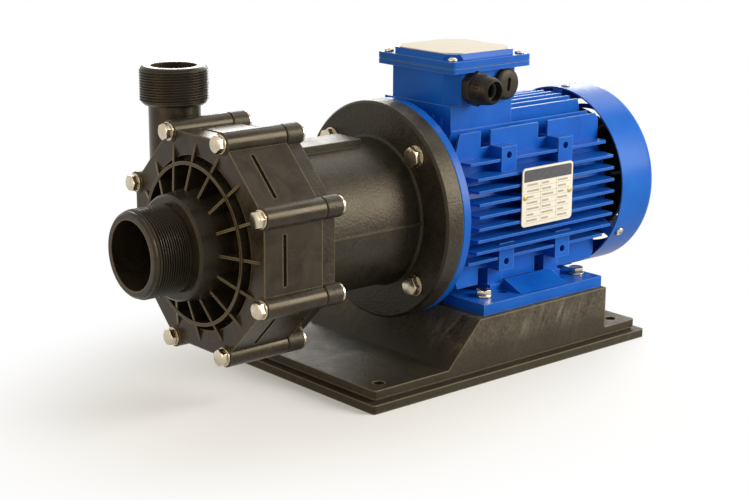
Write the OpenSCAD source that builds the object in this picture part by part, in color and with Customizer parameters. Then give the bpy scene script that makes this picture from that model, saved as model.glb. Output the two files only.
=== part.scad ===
// Magnetic drive pump on a moulded base, bolted to a foot and flange mounted motor.
// Millimetres. +X runs along the shaft from the suction side to the fan, +Z is up.
// The origin is the centre of the four fixing holes, on the floor.

/* [Baseplate] */
// Spacing of the fixing holes along the shaft
base_hole_x = 302; // [296:1:306]
// Spacing of the fixing holes across the shaft
base_hole_y = 165; // [160:1:170]
// Diameter of the fixing holes
base_hole_d = 11; // [9:0.5:13]
// Width of the deck and pedestal
deck_w = 197; // [194:1:204]
// Height of the deck above the floor
deck_h = 18; // [16:1:22]
// Height of the pedestal above the deck
pedestal_h = 40; // [36:1:48]
// Height of the lip that stands on the floor
lip_h = 8; // [6:1:10]

/* [Motor mounting] */
// Shaft height above the feet
motor_h = 90; // [90:1:94]
// Spacing of the foot bolts across the shaft
foot_a = 140; // [138:1:144]
// Spacing of the foot bolts along the shaft
foot_b = 125; // [120:1:128]
// Distance from the flange face to the first foot bolts
foot_c = 56; // [54:1:60]
// Diameter of the foot bolts
foot_bolt_d = 8; // [6:1:8]
// Diameter of the mounting flange
flange_d = 200; // [196:1:204]
// Bolt circle of the mounting flange
flange_pcd = 165; // [164:1:168]
// Diameter of the locating spigot
spigot_d = 130; // [128:1:132]
// Diameter of the flange bolts
flange_bolt_d = 10; // [8:1:10]

/* [Motor frame] */
// Length of the finned frame
frame_len = 195; // [190:1:200]
// Diameter of the frame under the fins
barrel_d = 134; // [132:1:136]
// Wall of the frame under the fins
frame_wall = 5; // [4:0.5:6]
// Spacing of the cooling fins
fin_pitch = 11.3; // [11:0.1:11.6]
// Thickness of a cooling fin
fin_t = 2.6; // [2:0.1:3]
// Reach of the middle fin from the shaft axis
fin_tip = 86; // [84:0.5:87]
// Diameter of the motor shaft end
motor_shaft_d = 24; // [22:1:24]
// Length of the motor shaft end
shaft_end = 50; // [46:1:52]
// Gap between rotor and stator
air_gap = 0.5; // [0.4:0.1:0.8]

/* [Fan cowl] */
// Diameter of the fan cowl
cowl_d = 178.6; // [176:0.2:182]
// Length of the fan cowl
cowl_len = 48; // [44:1:52]
// Thickness of the cowl sheet
cowl_t = 1.5; // [1:0.1:2]
// Number of blades on the cooling fan
fan_blades = 9; // [6:1:11]

/* [Terminal box] */
// Length of the box along the shaft
box_l = 91; // [88:1:95]
// Width of the box across the shaft
box_w = 92; // [90:1:96]
// Height of the box without its lid
box_h = 30; // [28:1:36]
// Wall of the box
box_t = 3.5; // [3:0.1:4]
// Hole of the cable gland
gland_bore = 14; // [12:0.5:15]

/* [Lantern] */
// Length of the lantern between its two faces
lantern_len = 152.5; // [152:0.5:158]
// Outer diameter of the lantern barrel
lantern_d = 134; // [132:1:138]
// Inner diameter of the lantern barrel
lantern_bore = 120; // [118:1:122]
// Width of the flat pad on top of the barrel
top_pad_w = 33; // [28:1:38]

/* [Pump casing] */
// Bolt circle of the casing
casing_pcd = 195; // [194:1:198]
// Diameter of the casing bolts
casing_bolt_d = 8; // [6:1:8]
// Diameter of the bolt bosses
boss_d = 19; // [18:0.5:20]
// Distance from the shaft axis to each flat side
casing_flat = 92; // [91:0.5:93]
// Depth of the casing
casing_depth = 61; // [61:1:64]
// Number of stiffening ribs on the front
rib_count = 16; // [8:8:16]
// Thickness of a stiffening rib
rib_t = 2.5; // [2:0.1:3]

/* [Nozzles] */
// Outer diameter of the suction thread
suction_d = 75.2; // [74:0.2:78]
// Bore of the suction nozzle
suction_bore = 59; // [57:0.5:60]
// Distance from the casing front to the suction face
suction_len = 65; // [58:1:68]
// Outer diameter of the discharge thread
discharge_d = 59.6; // [56:0.2:62]
// Bore of the discharge nozzle
discharge_bore = 40; // [38:0.5:41]
// Height of the discharge face above the shaft axis
discharge_top = 140; // [136:1:146]
// Sideways distance of the discharge from the shaft axis
discharge_y = 68; // [67:0.5:69]

/* [Magnetic drive] */
// Diameter of the impeller
impeller_d = 132; // [126:1:132]
// Number of impeller vanes
vane_count = 6; // [5:1:7]
// Diameter of the fixed pump shaft
pump_shaft_d = 20; // [18:1:21]
// Inner diameter of the containment can
can_bore = 80; // [79:0.5:81]
// Wall of the containment can
can_t = 3; // [2.5:0.1:3.2]
// Number of magnets in each ring
magnet_count = 10; // [8:2:12]
// Radial clearance of the bush on the pump shaft
run_clear = 0.05; // [0.03:0.01:0.08]

/* [Hidden] */
$fn = 64;
eps = 1;
seat_clear = 0.3;
spot_deep = 0.5;
spot_clear = 0.6;
hex_round = cos(30);

// Heights above the floor
pedestal_top = deck_h + pedestal_h;
axis_h = pedestal_top + motor_h;

// Stations along the shaft
foot_mid = 50;
x_face = foot_mid - foot_b / 2 - foot_c;
x_part = x_face - lantern_len;
x_front = x_part - casing_depth;
x_suction = x_front - suction_len;
flange_t = 10;
shield_len = 22.5;
x_ring = x_face + flange_t;
x_nut = x_ring - spot_deep;
x_frame = x_face + shield_len;
x_rear = x_frame + frame_len;
x_cowl = x_rear + 5;
x_end = x_cowl + cowl_len;
frame_bore = barrel_d - 2 * frame_wall;

// Baseplate
deck_margin = 18;
deck_l = base_hole_x + 2 * deck_margin;
lip_step = 7;
groove_h = 2;
groove_in = 2;
corner_r = 3;
pedestal_x0 = -44;
pedestal_x1 = 125;
slope_run = 38;
base_wall = 7;
rib_w = 5;
column_d = 26;
cell_l = 38;
cell_w = 41;
insert_d = 12;
insert_len = 18;
washer_t = 1.6;

// Feet
foot_l0 = 20.5;
foot_l1 = 12.5;
foot_edge = 22;
foot_in = 38;
foot_t = 10;
foot_web_h = 6;
foot_hole_d = foot_bolt_d + 2;
spare_pitch = foot_b - 50;
pad_pitch = 75;
pad_w = 19;
pad_low = 32;
pad_high = 58;
pad_face = 74;
pad_hole_z = 50;
pad_hole_d = 6.8;
pad_hole_depth = 12;
foot_screw_d = 6;

// Motor inside
spigot_h = 3.5;
bearing_d = 52;
bearing_w = 15;
rear_seat = 13;
front_seat = 13;
bearing_bore = motor_shaft_d + 1;
race_d = bearing_bore + 9.4;
shield_hole_d = race_d + 0.8;
rotor_d = 76.4;
core_l = 100;
core_shift = 10;
x_core = foot_mid - core_l / 2 - core_shift;
rotor_shaft_d = 30;
turns_l = 18;
turns_room = 3.8;
turns_clear = 3;
seal_lip = 3;
seal_t = 4;
turns_in = rotor_d + 2 * turns_room;
turns_out = frame_bore - 2 * turns_clear;
end_ring_l = 8;
end_ring_in = 42;
end_ring_out = 74;
fan_seat_d = 20;
fan_start = 13;
fan_l = 19;
fan_t = 2.5;
fan_tip_r = 7;
fan_gap = 12.8;
fan_hub_d = fan_seat_d + 14;
fan_d = cowl_d - 2 * cowl_t - 2 * fan_gap;
fan_disc_d = 0.9 * fan_d;
rod_angle = 54.5;
rod_r = barrel_d / 2 + 1.8;
rod_y = rod_r * cos(rod_angle);
rod_z = rod_r * sin(rod_angle);
rod_d = 5;
rod_boss_d = 12;
key_w = 8;
key_h = 7;
key_l = 36;
key_low = motor_shaft_d / 2 - 4;

// Fins
fin_side = 3;
fin_curve = 386;
fin_slope = 11;
fin_end = 4;
outer_fin_y = 46;
outer_fin_tip = 73;
wall_y = 57;
wall_top = 72;
wall_root = 30;
notch_w = 12;

// Fan cowl
cowl_round = 8;
lug_w = 12;
lug_l = 19;
lug_t = 9;
lug_clear = 0.3;
cowl_screw_l = 12;
cowl_head_h = 2.5;
cowl_screw_x = x_cowl + 11;
cowl_screw_d = 4;
grille_rings = 6;
grille_slot = 5;
grille_pitch = 9.5;
grille_first = 20;
spoke_w = 5;

// Terminal box
x_box = x_face + 34.5;
box_mid = x_box + box_l / 2;
z_box = 95;
box_cut = 12;
seat_l = 77;
seat_w = 90;
seat_root = 55;
wire_hole_d = 22;
block_l = 54;
block_w = 44;
block_h = 12;
block_in = 4;
stud_d = 5;
stud_l = 17;
stud_pitch = 15;
stud_row = 12;
gasket_t = 0.6;
gasket_in = 0.6;
ear_t = 4.4;
z_lid = z_box + box_h + ear_t + gasket_t;
lid_over = 5.2;
lid_l = box_l + 2 * lid_over;
lid_w = box_w + 2 * lid_over;
lid_round = 5;
lid_rim = 6;
lid_rise = 5;
lid_step = 5;
lid_bevel = 3;
lid_cut = 15;
lid_wall = 3;
lid_plate_t = 0.8;
lid_plate_in = 1;
lid_screw_in = 3;
lid_screw_d = 5;
lid_screw_l = ear_t;
lid_head_h = 3;
entry_pitch = 41;
entry_z = 110;
entry_d = 20;
gland_flats = 28;
gland_body_l = 10;
gland_nut_d = 27;
gland_nut_l = 19;
gland_mouth_d = 18;
plug_d = 29;
plug_t = 6;

// Name plate
plate_l = 67;
plate_w = 55;
plate_t = 1;
plate_z = 10.5;
plate_round = 4;
plate_mid = foot_mid + 1;
rivet_d = 3;
rivet_l = 7;
rivet_head_h = 1;

// Lantern
lantern_flat = 89;
lantern_plate = 15.5;
parting_w = 1.2;
parting_deep = 2;
boss_break = 1;
sleeve_nut_d = 11;
sleeve_nut_l = 12;
sleeve_rim_d = 17;
sleeve_rim_t = 2.2;
bolt_short = 0.5;
lantern_boss = 17.5;
lantern_ring = 19.2;
lantern_round = 3;
x_back = x_part + lantern_boss;
x_seat = x_face - lantern_ring + spot_deep;
pad_top = 71.7;
top_pad_end = 105;
seam_h = 1.2;
seam_w = 2;

// Casing front
casing_sides = 8;
first_bolt = 180 / casing_sides;
rim_in = 1.2;
trim_x = 1;
dish_floor = 13;
dish_root = 52;
ring_in = 67;
ring_out = 70;
ring_x = -5;
ring_back = 8;
groove_out = ring_out + 4.5;
groove_lean = 1;
rib_end = 87.5;
rib_sink = 0.4;
collar_x = 27;
collar_d = 90;
collar_root = 97;
chamfer = 2;
thread_deep = 1.5;
rib_x = -11;
slot_x = 22;
slot_w = 3.5;
slot_l = 44;
slot_deep = 2;

// Wet end, measured from the casing front
chamber_x = 19;
volute_x = 23;
shell_x = 46;
land_x = 52;
chamber_d = 140;
volute_r0 = 68;
volute_r1 = 78;
tongue = 60;
land_d = 168;
plug_clear = 0.5;
shell_plug_d = chamber_d - 2 * plug_clear;
can_end = 144;
can_floor = 6;
socket_len = 10;
socket_d = 34;
shaft_x0 = 4;
shaft_x1 = 136.5;
spider_x0 = 1;
spider_x1 = 14;
spider_d = 32;
arm_count = 3;
arm_t = 5;
thrust_t = 3;
thrust_d = 30;
wear_t = 4;
wear_x = 15;
wear_d = 72;
neck_d = 65.4;
eye_d = 59;
shroud_x = 22;
shroud_t = 3;
vane_t = 3;
back_x = 39;
back_t = 4;
hub_x = 26;
hub_d = 38;
bush_d = 30;
bush_x0 = 17.5;
bush_x1 = 126;
neck_back_d = 60;
capsule_x0 = 58;
capsule_x1 = 126;
capsule_d = can_bore - 3;
pocket_x0 = 62;
cap_t = 4;
pocket_in = 44;
pocket_out = 73;
yoke_out = 57;
magnet_gap = 1.5;
o_ring_d = 2.4;
o_ring_mid = 162;
o_groove_w = 3;
o_groove_deep = 2.3;

// Discharge
discharge_x = 27;
discharge_pipe_d = 45;
discharge_thread = 31;
discharge_throat = 34;
discharge_low = 42;

// Outer magnets
drive_x0 = 66;
drive_x1 = 126;
drive_in = can_bore + 2 * can_t + 3;
drive_out = drive_in + 10;
cup_d = drive_out + 12;
cup_x0 = 64;
web_x0 = 152;
web_x1 = 160;
sleeve_d = 44;
sleeve_end = x_face - 7;
hub_bolt_d = 8;
hub_bolt_l = 24;
hub_head_d = 13;
hub_head_h = 5;

// Fastener sizes follow the thread diameter
function hex_flats(d) = 1.625 * d;
function head_h(d) = 0.66 * d;
function nut_h(d) = 0.8 * d;
function washer_d(d) = 2 * d;
function hole_d(d) = d + 1;

// Shared shapes. Turned outlines are lists of radius and station along X.
module on_axis() {
  translate([0, 0, axis_h]) children();
}

module turn(outline) {
  rotate([0, 90, 0]) rotate_extrude() polygon(outline);
}

module rod(x0, x1, d) {
  translate([x0, 0, 0]) rotate([0, 90, 0]) cylinder(h = x1 - x0, d = d);
}

module tube(x0, x1, outer, inner) {
  difference() {
    rod(x0, x1, outer);
    rod(x0 - eps, x1 + eps, inner);
  }
}

module hexagon(x0, x1, flats) {
  translate([x0, 0, 0]) rotate([0, 90, 0]) cylinder(h = x1 - x0, d = flats / hex_round, $fn = 6);
}

module prism8(x0, x1, flat) {
  translate([x0, 0, 0]) rotate([0, 90, 0]) rotate([0, 0, first_bolt])
    cylinder(h = x1 - x0, r = flat / cos(first_bolt), $fn = casing_sides);
}

module around(count, radius, start = 0) {
  for (i = [0 : count - 1]) {
    rotate([start + i * 360 / count, 0, 0]) translate([0, radius, 0]) children();
  }
}

module side_slab(t, outline) {
  rotate([90, 0, 0]) linear_extrude(t, center = true) polygon(outline);
}

module cross_slab(t, outline) {
  rotate([90, 0, 90]) linear_extrude(t, center = true) polygon(outline);
}

module block(x0, x1, y0, y1, z0, z1) {
  translate([x0, y0, z0]) cube([x1 - x0, y1 - y0, z1 - z0]);
}

module round_plate(l, w, r) {
  square([l - 2 * r, w], center = true);
  square([l, w - 2 * r], center = true);
  for (sx = [-1, 1], sy = [-1, 1]) {
    translate([sx * (l / 2 - r), sy * (w / 2 - r)]) circle(r);
  }
}

module cut_plate(l, w, c) {
  polygon([
    [-l / 2 + c, -w / 2],
    [l / 2 - c, -w / 2],
    [l / 2, -w / 2 + c],
    [l / 2, w / 2 - c],
    [l / 2 - c, w / 2],
    [-l / 2 + c, w / 2],
    [-l / 2, w / 2 - c],
    [-l / 2, -w / 2 + c]
  ]);
}

module at_feet() {
  for (sx = [-1, 1], sy = [-1, 1]) {
    translate([foot_mid + sx * foot_b / 2, sy * foot_a / 2, 0]) children();
  }
}

module at_pads() {
  for (sx = [-1, 1]) {
    translate([foot_mid + sx * pad_pitch / 2, 0, 0]) children();
  }
}

module at_rods() {
  for (sy = [-1, 1], sz = [-1, 1]) {
    translate([0, sy * rod_y, sz * rod_z]) children();
  }
}

// Base and feet
module base_solid() {
  linear_extrude(lip_h) round_plate(deck_l + 2 * lip_step, deck_w + 2 * lip_step, corner_r);
  linear_extrude(lip_h + groove_h + eps)
    round_plate(deck_l - 2 * groove_in, deck_w - 2 * groove_in, corner_r - groove_in);
  intersection() {
    side_slab(deck_w + 2 * eps, [
      [-deck_l, lip_h + groove_h],
      [deck_l, lip_h + groove_h],
      [deck_l, deck_h],
      [pedestal_x1, deck_h],
      [pedestal_x1, pedestal_top],
      [pedestal_x0, pedestal_top],
      [pedestal_x0 - slope_run, deck_h],
      [-deck_l, deck_h]
    ]);
    linear_extrude(pedestal_top + eps) round_plate(deck_l, deck_w, corner_r);
  }
}

module base_cells() {
  pitch_x = cell_l + rib_w;
  pitch_y = cell_w + rib_w;
  for (j = [-1.5 : 1 : 1.5]) {
    for (i = [0 : 3]) {
      translate([pedestal_x0 + i * pitch_x, j * pitch_y - cell_w / 2, -eps])
        cube([cell_l, cell_w, pedestal_top - base_wall + eps]);
    }
    for (i = [1 : 2]) {
      translate([pedestal_x0 - i * pitch_x, j * pitch_y - cell_w / 2, -eps])
        cube([cell_l, cell_w, deck_h - base_wall + eps]);
    }
  }
}

module baseplate() {
  color("#2b2a27") difference() {
    base_solid();
    difference() {
      base_cells();
      at_feet() cylinder(h = pedestal_top, d = column_d);
      for (sx = [-1, 1], sy = [-1, 1]) {
        translate([sx * base_hole_x / 2, sy * base_hole_y / 2, -eps])
          cylinder(h = pedestal_top, d = column_d);
      }
    }
    for (sx = [-1, 1], sy = [-1, 1]) {
      translate([sx * base_hole_x / 2, sy * base_hole_y / 2, -eps])
        cylinder(h = pedestal_top, d = base_hole_d);
    }
    at_feet() translate([0, 0, pedestal_top - insert_len]) cylinder(h = insert_len + eps, d = insert_d);
  }
}

module foot_inserts() {
  color("#b08d45") at_feet() translate([0, 0, pedestal_top - insert_len]) difference() {
    cylinder(h = insert_len, d = insert_d);
    translate([0, 0, -eps]) cylinder(h = insert_len + 2 * eps, d = foot_bolt_d);
  }
}

module foot_bolts() {
  z_head = pedestal_top + foot_t + washer_t;
  color("#c9c4b8") at_feet() {
    translate([0, 0, pedestal_top - insert_len])
      cylinder(h = insert_len + foot_t + washer_t, d = foot_bolt_d);
    translate([0, 0, z_head])
      cylinder(h = head_h(foot_bolt_d), d = hex_flats(foot_bolt_d) / hex_round, $fn = 6);
  }
}

module foot_washers() {
  color("#d0cbbf") at_feet() translate([0, 0, pedestal_top + foot_t]) difference() {
    cylinder(h = washer_t, d = washer_d(foot_bolt_d));
    translate([0, 0, -eps]) cylinder(h = washer_t + 2 * eps, d = foot_bolt_d + 2 * seat_clear);
  }
}

// One foot on the +Y side
module motor_foot() {
  x0 = foot_mid - foot_b / 2 - foot_l0;
  x1 = foot_mid + foot_b / 2 + foot_l1;
  y1 = foot_a / 2 + foot_edge;
  web_y = wall_y + 6;
  web0 = foot_mid - pad_pitch / 2 - pad_w / 2;
  web1 = foot_mid + pad_pitch / 2 + pad_w / 2;
  top = pedestal_top + foot_t;
  pad_z = axis_h - pad_face;
  wedge_l = spare_pitch - 14;
  difference() {
    union() {
      block(x0, x1, foot_in, y1, pedestal_top, top);
      block(web0, web1, foot_in, web_y, top - eps, pad_z);
      translate([foot_mid, 0, 0]) cross_slab(wedge_l, [
        [web_y - eps, top - eps],
        [y1 - 4, top - eps],
        [y1 - 4, top],
        [web_y + 2, pad_z + 4],
        [web_y - eps, pad_z]
      ]);
    }
    for (dx = [-foot_b / 2, -spare_pitch / 2, spare_pitch / 2, foot_b / 2]) {
      translate([foot_mid + dx, foot_a / 2, pedestal_top - eps])
        cylinder(h = foot_t + 2 * eps, d = foot_hole_d);
    }
    at_pads() translate([0, pad_hole_z, pedestal_top - eps]) {
      cylinder(h = motor_h, d = foot_screw_d + 1);
      cylinder(h = foot_screw_d + 1 + eps, d = 2 * foot_screw_d);
    }
  }
}

module near_foot() {
  color("#1a4fa8") mirror([0, 1, 0]) motor_foot();
}

module far_foot() {
  color("#1a4fa8") motor_foot();
}

module foot_screws() {
  color("#8f8b82") for (sy = [-1, 1]) {
    at_pads() translate([0, sy * pad_hole_z, pedestal_top + 1]) {
      cylinder(h = foot_screw_d, d = 2 * foot_screw_d - 2);
      cylinder(h = motor_h - pad_face + pad_hole_depth - 2, d = foot_screw_d);
    }
  }
}

// Motor
module fin(y, tip) {
  translate([0, y, 0]) side_slab(fin_t, [
    [x_frame, wall_root],
    [x_frame + fin_slope, tip],
    [x_rear - fin_end, tip],
    [x_rear, barrel_d / 2 - eps],
    [x_rear, wall_root]
  ]);
}

module fin_bank() {
  for (k = [-fin_side : fin_side]) {
    fin(k * fin_pitch, fin_tip - pow(k * fin_pitch, 2) / fin_curve);
  }
  for (sy = [-1, 1]) {
    fin(sy * outer_fin_y, outer_fin_tip);
  }
}

module frame_pads() {
  for (sy = [-1, 1], sz = [-1, 1]) {
    at_pads() {
      scale([1, sy, sz]) block(-pad_w / 2, pad_w / 2, outer_fin_y, pad_face, pad_low, pad_high);
    }
  }
}

module foot_pads() {
  at_pads() for (sy = [-1, 1]) {
    translate([-pad_w / 2, sy * pad_hole_z - pad_w / 2, -pad_face])
      cube([pad_w, pad_w, pad_face - wall_root]);
  }
}

module motor_frame() {
  color("#1a4fa8") on_axis() difference() {
    union() {
      rod(x_frame, x_rear, barrel_d);
      for (a = [0 : 90 : 270]) {
        rotate([a, 0, 0]) fin_bank();
      }
      for (sy = [-1, 1], a = [0, 180]) {
        rotate([a, 0, 0]) difference() {
          fin(sy * wall_y, wall_top);
          at_pads() block(-pad_w / 2 - notch_w, -pad_w / 2 + 1, -barrel_d, barrel_d, pad_high - 1, barrel_d);
        }
      }
      frame_pads();
      foot_pads();
      at_rods() rod(x_frame, x_rear, rod_boss_d);
      block(x_box, x_box + seat_l, -seat_w / 2, seat_w / 2, seat_root, z_box);
      for (sx = [-1, 1]) {
        translate([plate_mid + sx * (plate_l / 2 - 4), -fin_tip, plate_z]) rotate([-90, 0, 0])
          cylinder(h = fin_tip - barrel_d / 2 + 4, d = 8);
      }
    }
    rod(x_frame - eps, x_rear + eps, frame_bore);
    at_rods() rod(x_frame - eps, x_rear + eps, rod_d + 1);
    translate([box_mid, 0, seat_root - 8]) cylinder(h = z_box, d = wire_hole_d);
    at_pads() for (sy = [-1, 1], sz = [-1, 1]) {
      translate([0, sy * (pad_face + eps), sz * pad_hole_z]) rotate([sy * 90, 0, 0])
        cylinder(h = pad_hole_depth + eps, d = pad_hole_d);
    }
    at_pads() for (sy = [-1, 1]) {
      translate([0, sy * pad_hole_z, -pad_face - eps]) cylinder(h = pad_hole_depth + eps, d = foot_screw_d);
    }
    for (sx = [-1, 1]) {
      translate([plate_mid + sx * (plate_l / 2 - 4), -fin_tip - eps, plate_z]) rotate([-90, 0, 0])
        cylinder(h = 8, d = rivet_d);
    }
  }
}

module motor_flange() {
  r_spigot = spigot_d / 2;
  r_ring = flange_d / 2;
  r_in = r_spigot - 15;
  r_fit = frame_bore / 2 - 0.1;
  r_shaft = motor_shaft_d / 2 + 1.5;
  x_bear = x_face + front_seat;
  color("#1a4fa8") on_axis() difference() {
    union() {
      turn([
        [r_shaft, x_face + 4],
        [r_in, x_face + 4],
        [r_in, x_face - spigot_h],
        [r_spigot, x_face - spigot_h],
        [r_spigot, x_face],
        [r_ring - 1, x_face],
        [r_ring, x_face + 1],
        [r_ring, x_ring - 1],
        [r_ring - 1, x_ring],
        [barrel_d / 2 + 5, x_ring],
        [barrel_d / 2 + 1, x_ring + 5],
        [barrel_d / 2, x_frame],
        [r_fit, x_frame],
        [r_fit, x_frame + 6],
        [r_fit - 6, x_frame + 6],
        [r_fit - 6, x_ring + 4],
        [bearing_d / 2 + 6, x_ring + 4],
        [bearing_d / 2 + 6, x_bear + bearing_w],
        [bearing_d / 2, x_bear + bearing_w],
        [bearing_d / 2, x_bear],
        [r_shaft, x_bear]
      ]);
      at_rods() rod(x_ring - eps, x_frame, rod_boss_d);
    }
    around(4, flange_pcd / 2, 45) rod(x_face - eps, x_ring + eps, hole_d(flange_bolt_d));
    around(4, flange_pcd / 2, 45)
      rod(x_nut, x_frame + eps, hex_flats(flange_bolt_d) / hex_round + 2 * spot_clear);
    at_rods() rod(x_frame - 10, x_frame + eps, rod_d);
  }
}

module cowl_lug() {
  side_slab(lug_w, [
    [x_rear + 1, barrel_d / 2 - 8],
    [x_rear + 6, barrel_d / 2 - 8],
    [x_rear + 6, cowl_d / 2 - lug_t - 2],
    [x_cowl + lug_l, cowl_d / 2 - lug_t],
    [x_cowl + lug_l, cowl_d / 2 - cowl_t - lug_clear],
    [x_cowl, cowl_d / 2 - cowl_t - lug_clear],
    [x_rear + 1, barrel_d / 2]
  ]);
}

module rear_shield() {
  r_fit = frame_bore / 2 - 0.1;
  r_house = bearing_d / 2 + 6;
  x_bear = x_rear - rear_seat;
  color("#1a4fa8") on_axis() difference() {
    union() {
      turn([
        [bearing_d / 2, x_bear],
        [r_house, x_bear],
        [r_house, x_rear - 1],
        [r_fit - 6, x_rear - 1],
        [r_fit - 6, x_rear - 6],
        [r_fit, x_rear - 6],
        [r_fit, x_rear],
        [barrel_d / 2, x_rear],
        [barrel_d / 2, x_rear + 5],
        [barrel_d / 2 - 1, x_rear + 6],
        [fan_seat_d / 2 + 1, x_rear + 6],
        [fan_seat_d / 2 + 1, x_bear + bearing_w],
        [bearing_d / 2, x_bear + bearing_w]
      ]);
      at_rods() rod(x_rear, x_rear + 6, rod_boss_d);
      for (a = [0, 120, 240]) {
        rotate([a, 0, 0]) cowl_lug();
      }
    }
    at_rods() rod(x_rear - eps, x_rear + 6 + eps, rod_d + 1);
    for (a = [0, 120, 240]) {
      rotate([a, 0, 0]) translate([cowl_screw_x, 0, cowl_d / 2 - cowl_screw_l - 2])
        cylinder(h = cowl_screw_l + 2, d = cowl_screw_d);
    }
  }
}

module tie_rods() {
  color("#8f8b82") on_axis() at_rods() {
    rod(x_frame - 9, x_rear + 6, rod_d);
    hexagon(x_rear + 6, x_rear + 6 + head_h(rod_d), hex_flats(rod_d));
  }
}

module stator_core() {
  color("#6f6c66") on_axis() tube(x_core, x_core + core_l, frame_bore, rotor_d + 2 * air_gap);
}

module windings() {
  color("#a5602f") on_axis() {
    tube(x_core - turns_l, x_core, turns_out, turns_in);
    tube(x_core + core_l, x_core + core_l + turns_l, turns_out, turns_in);
  }
}

module rotor_core() {
  color("#77736c") on_axis() tube(x_core, x_core + core_l, rotor_d, rotor_shaft_d);
}

module rotor_rings() {
  color("#a9a9a6") on_axis() {
    tube(x_core - end_ring_l, x_core, end_ring_out, end_ring_in);
    tube(x_core + core_l, x_core + core_l + end_ring_l, end_ring_out, end_ring_in);
  }
}

module key_seat(x0) {
  block(x0, x0 + key_l, -key_w / 2, key_w / 2, key_low, key_low + key_h);
}

module motor_shaft() {
  r_end = motor_shaft_d / 2;
  r_bear = bearing_bore / 2;
  r_mid = rotor_shaft_d / 2;
  r_fan = fan_seat_d / 2;
  x_tip = x_face - shaft_end;
  x_bear = x_face + front_seat;
  x_tail = x_rear - rear_seat;
  color("#b9b6ae") on_axis() difference() {
    turn([
      [0, x_tip],
      [r_end - 1, x_tip],
      [r_end, x_tip + 1],
      [r_end, x_bear - 1],
      [r_bear, x_bear - 1],
      [r_bear, x_bear + bearing_w],
      [r_mid, x_bear + bearing_w],
      [r_mid, x_tail],
      [r_bear, x_tail],
      [r_bear, x_tail + bearing_w],
      [r_fan, x_tail + bearing_w],
      [r_fan, x_rear + fan_start + fan_l + 2],
      [r_fan - 1, x_rear + fan_start + fan_l + 3],
      [0, x_rear + fan_start + fan_l + 3]
    ]);
    key_seat(x_tip + 5);
    rod(x_tip - eps, x_tip + hub_bolt_l, hub_bolt_d);
  }
}

module shaft_key() {
  color("#9c988f") on_axis() key_seat(x_face - shaft_end + 5);
}

module shaft_seal() {
  r = motor_shaft_d / 2;
  color("#26241f") on_axis() turn([
    [r, x_face - seal_lip],
    [r + seal_t, x_face - seal_lip],
    [r + seal_t, x_face],
    [r + seal_t + seal_lip, x_face + seal_lip + 0.5],
    [r, x_face + seal_lip - 1]
  ]);
}

// Outer ring of a bearing with its two side shields
module bearing_shell(x0) {
  x1 = x0 + bearing_w;
  r_out = bearing_d / 2;
  r_ring = r_out - 4.5;
  r_in = shield_hole_d / 2;
  turn([
    [r_out, x0],
    [r_out, x1],
    [r_ring, x1],
    [r_ring, x1 - 0.5],
    [r_in, x1 - 0.5],
    [r_in, x1 - 1.5],
    [r_ring, x1 - 1.5],
    [r_ring, x0 + 1.5],
    [r_in, x0 + 1.5],
    [r_in, x0 + 0.5],
    [r_ring, x0 + 0.5],
    [r_ring, x0]
  ]);
}

module front_bearing() {
  color("#a7a49d") on_axis() bearing_shell(x_face + front_seat);
}

module front_race() {
  x0 = x_face + front_seat;
  color("#c2bfb8") on_axis() tube(x0, x0 + bearing_w, race_d, bearing_bore);
}

module rear_bearing() {
  color("#a7a49d") on_axis() bearing_shell(x_rear - rear_seat);
}

module rear_race() {
  x0 = x_rear - rear_seat;
  color("#c2bfb8") on_axis() tube(x0, x0 + bearing_w, race_d, bearing_bore);
}

module cooling_fan() {
  x0 = x_rear + fan_start;
  x1 = x0 + fan_l;
  color("#2a2c30") on_axis() {
    difference() {
      union() {
        rod(x0, x1, fan_hub_d);
        rod(x1 - fan_t, x1, fan_disc_d);
        for (i = [0 : fan_blades - 1]) {
          rotate([i * 360 / fan_blades, 0, 0]) side_slab(fan_t, [
            [x0 + eps, fan_hub_d / 2 - 2 * eps],
            [x0 + eps, fan_d / 2 - fan_tip_r],
            [x0 + fan_tip_r, fan_d / 2],
            [x1 - eps, fan_d / 2],
            [x1 - eps, fan_hub_d / 2 - 2 * eps]
          ]);
        }
      }
      rod(x0 - eps, x1 + eps, fan_seat_d);
    }
  }
}

// Half outline of the cowl, from the axis outwards
module cowl_outline(r, l, round_r) {
  square([r - round_r, l]);
  square([r, l - round_r]);
  translate([r - round_r, l - round_r]) circle(round_r);
}

module cowl_shell(r, l, round_r) {
  rotate([0, 90, 0]) rotate_extrude() intersection() {
    cowl_outline(r, l, round_r);
    square([r, l]);
  }
}

module fan_cowl() {
  color("#2a6bd0") on_axis() difference() {
    translate([x_cowl, 0, 0]) cowl_shell(cowl_d / 2, cowl_len, cowl_round);
    translate([x_cowl - eps, 0, 0])
      cowl_shell(cowl_d / 2 - cowl_t, cowl_len - cowl_t + eps, cowl_round - cowl_t);
    difference() {
      for (i = [0 : grille_rings - 1]) {
        r = grille_first + i * grille_pitch;
        tube(x_end - 3, x_end + eps, 2 * (r + grille_slot), 2 * r);
      }
      for (a = [0 : 60 : 120]) {
        rotate([a, 0, 0]) block(x_end - 5, x_end + 5, -cowl_d, cowl_d, -spoke_w / 2, spoke_w / 2);
      }
    }
    for (a = [0, 120, 240]) {
      rotate([a, 0, 0]) translate([cowl_screw_x, 0, cowl_d / 2 - 6]) cylinder(h = 8, d = cowl_screw_d + 0.6);
    }
  }
}

module cowl_screws() {
  color("#b9b6ae") on_axis() for (a = [0, 120, 240]) {
    rotate([a, 0, 0]) translate([cowl_screw_x, 0, cowl_d / 2 - cowl_screw_l]) {
      cylinder(h = cowl_screw_l, d = cowl_screw_d);
      translate([0, 0, cowl_screw_l]) cylinder(h = cowl_head_h, d = 2.2 * cowl_screw_d);
    }
  }
}

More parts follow.
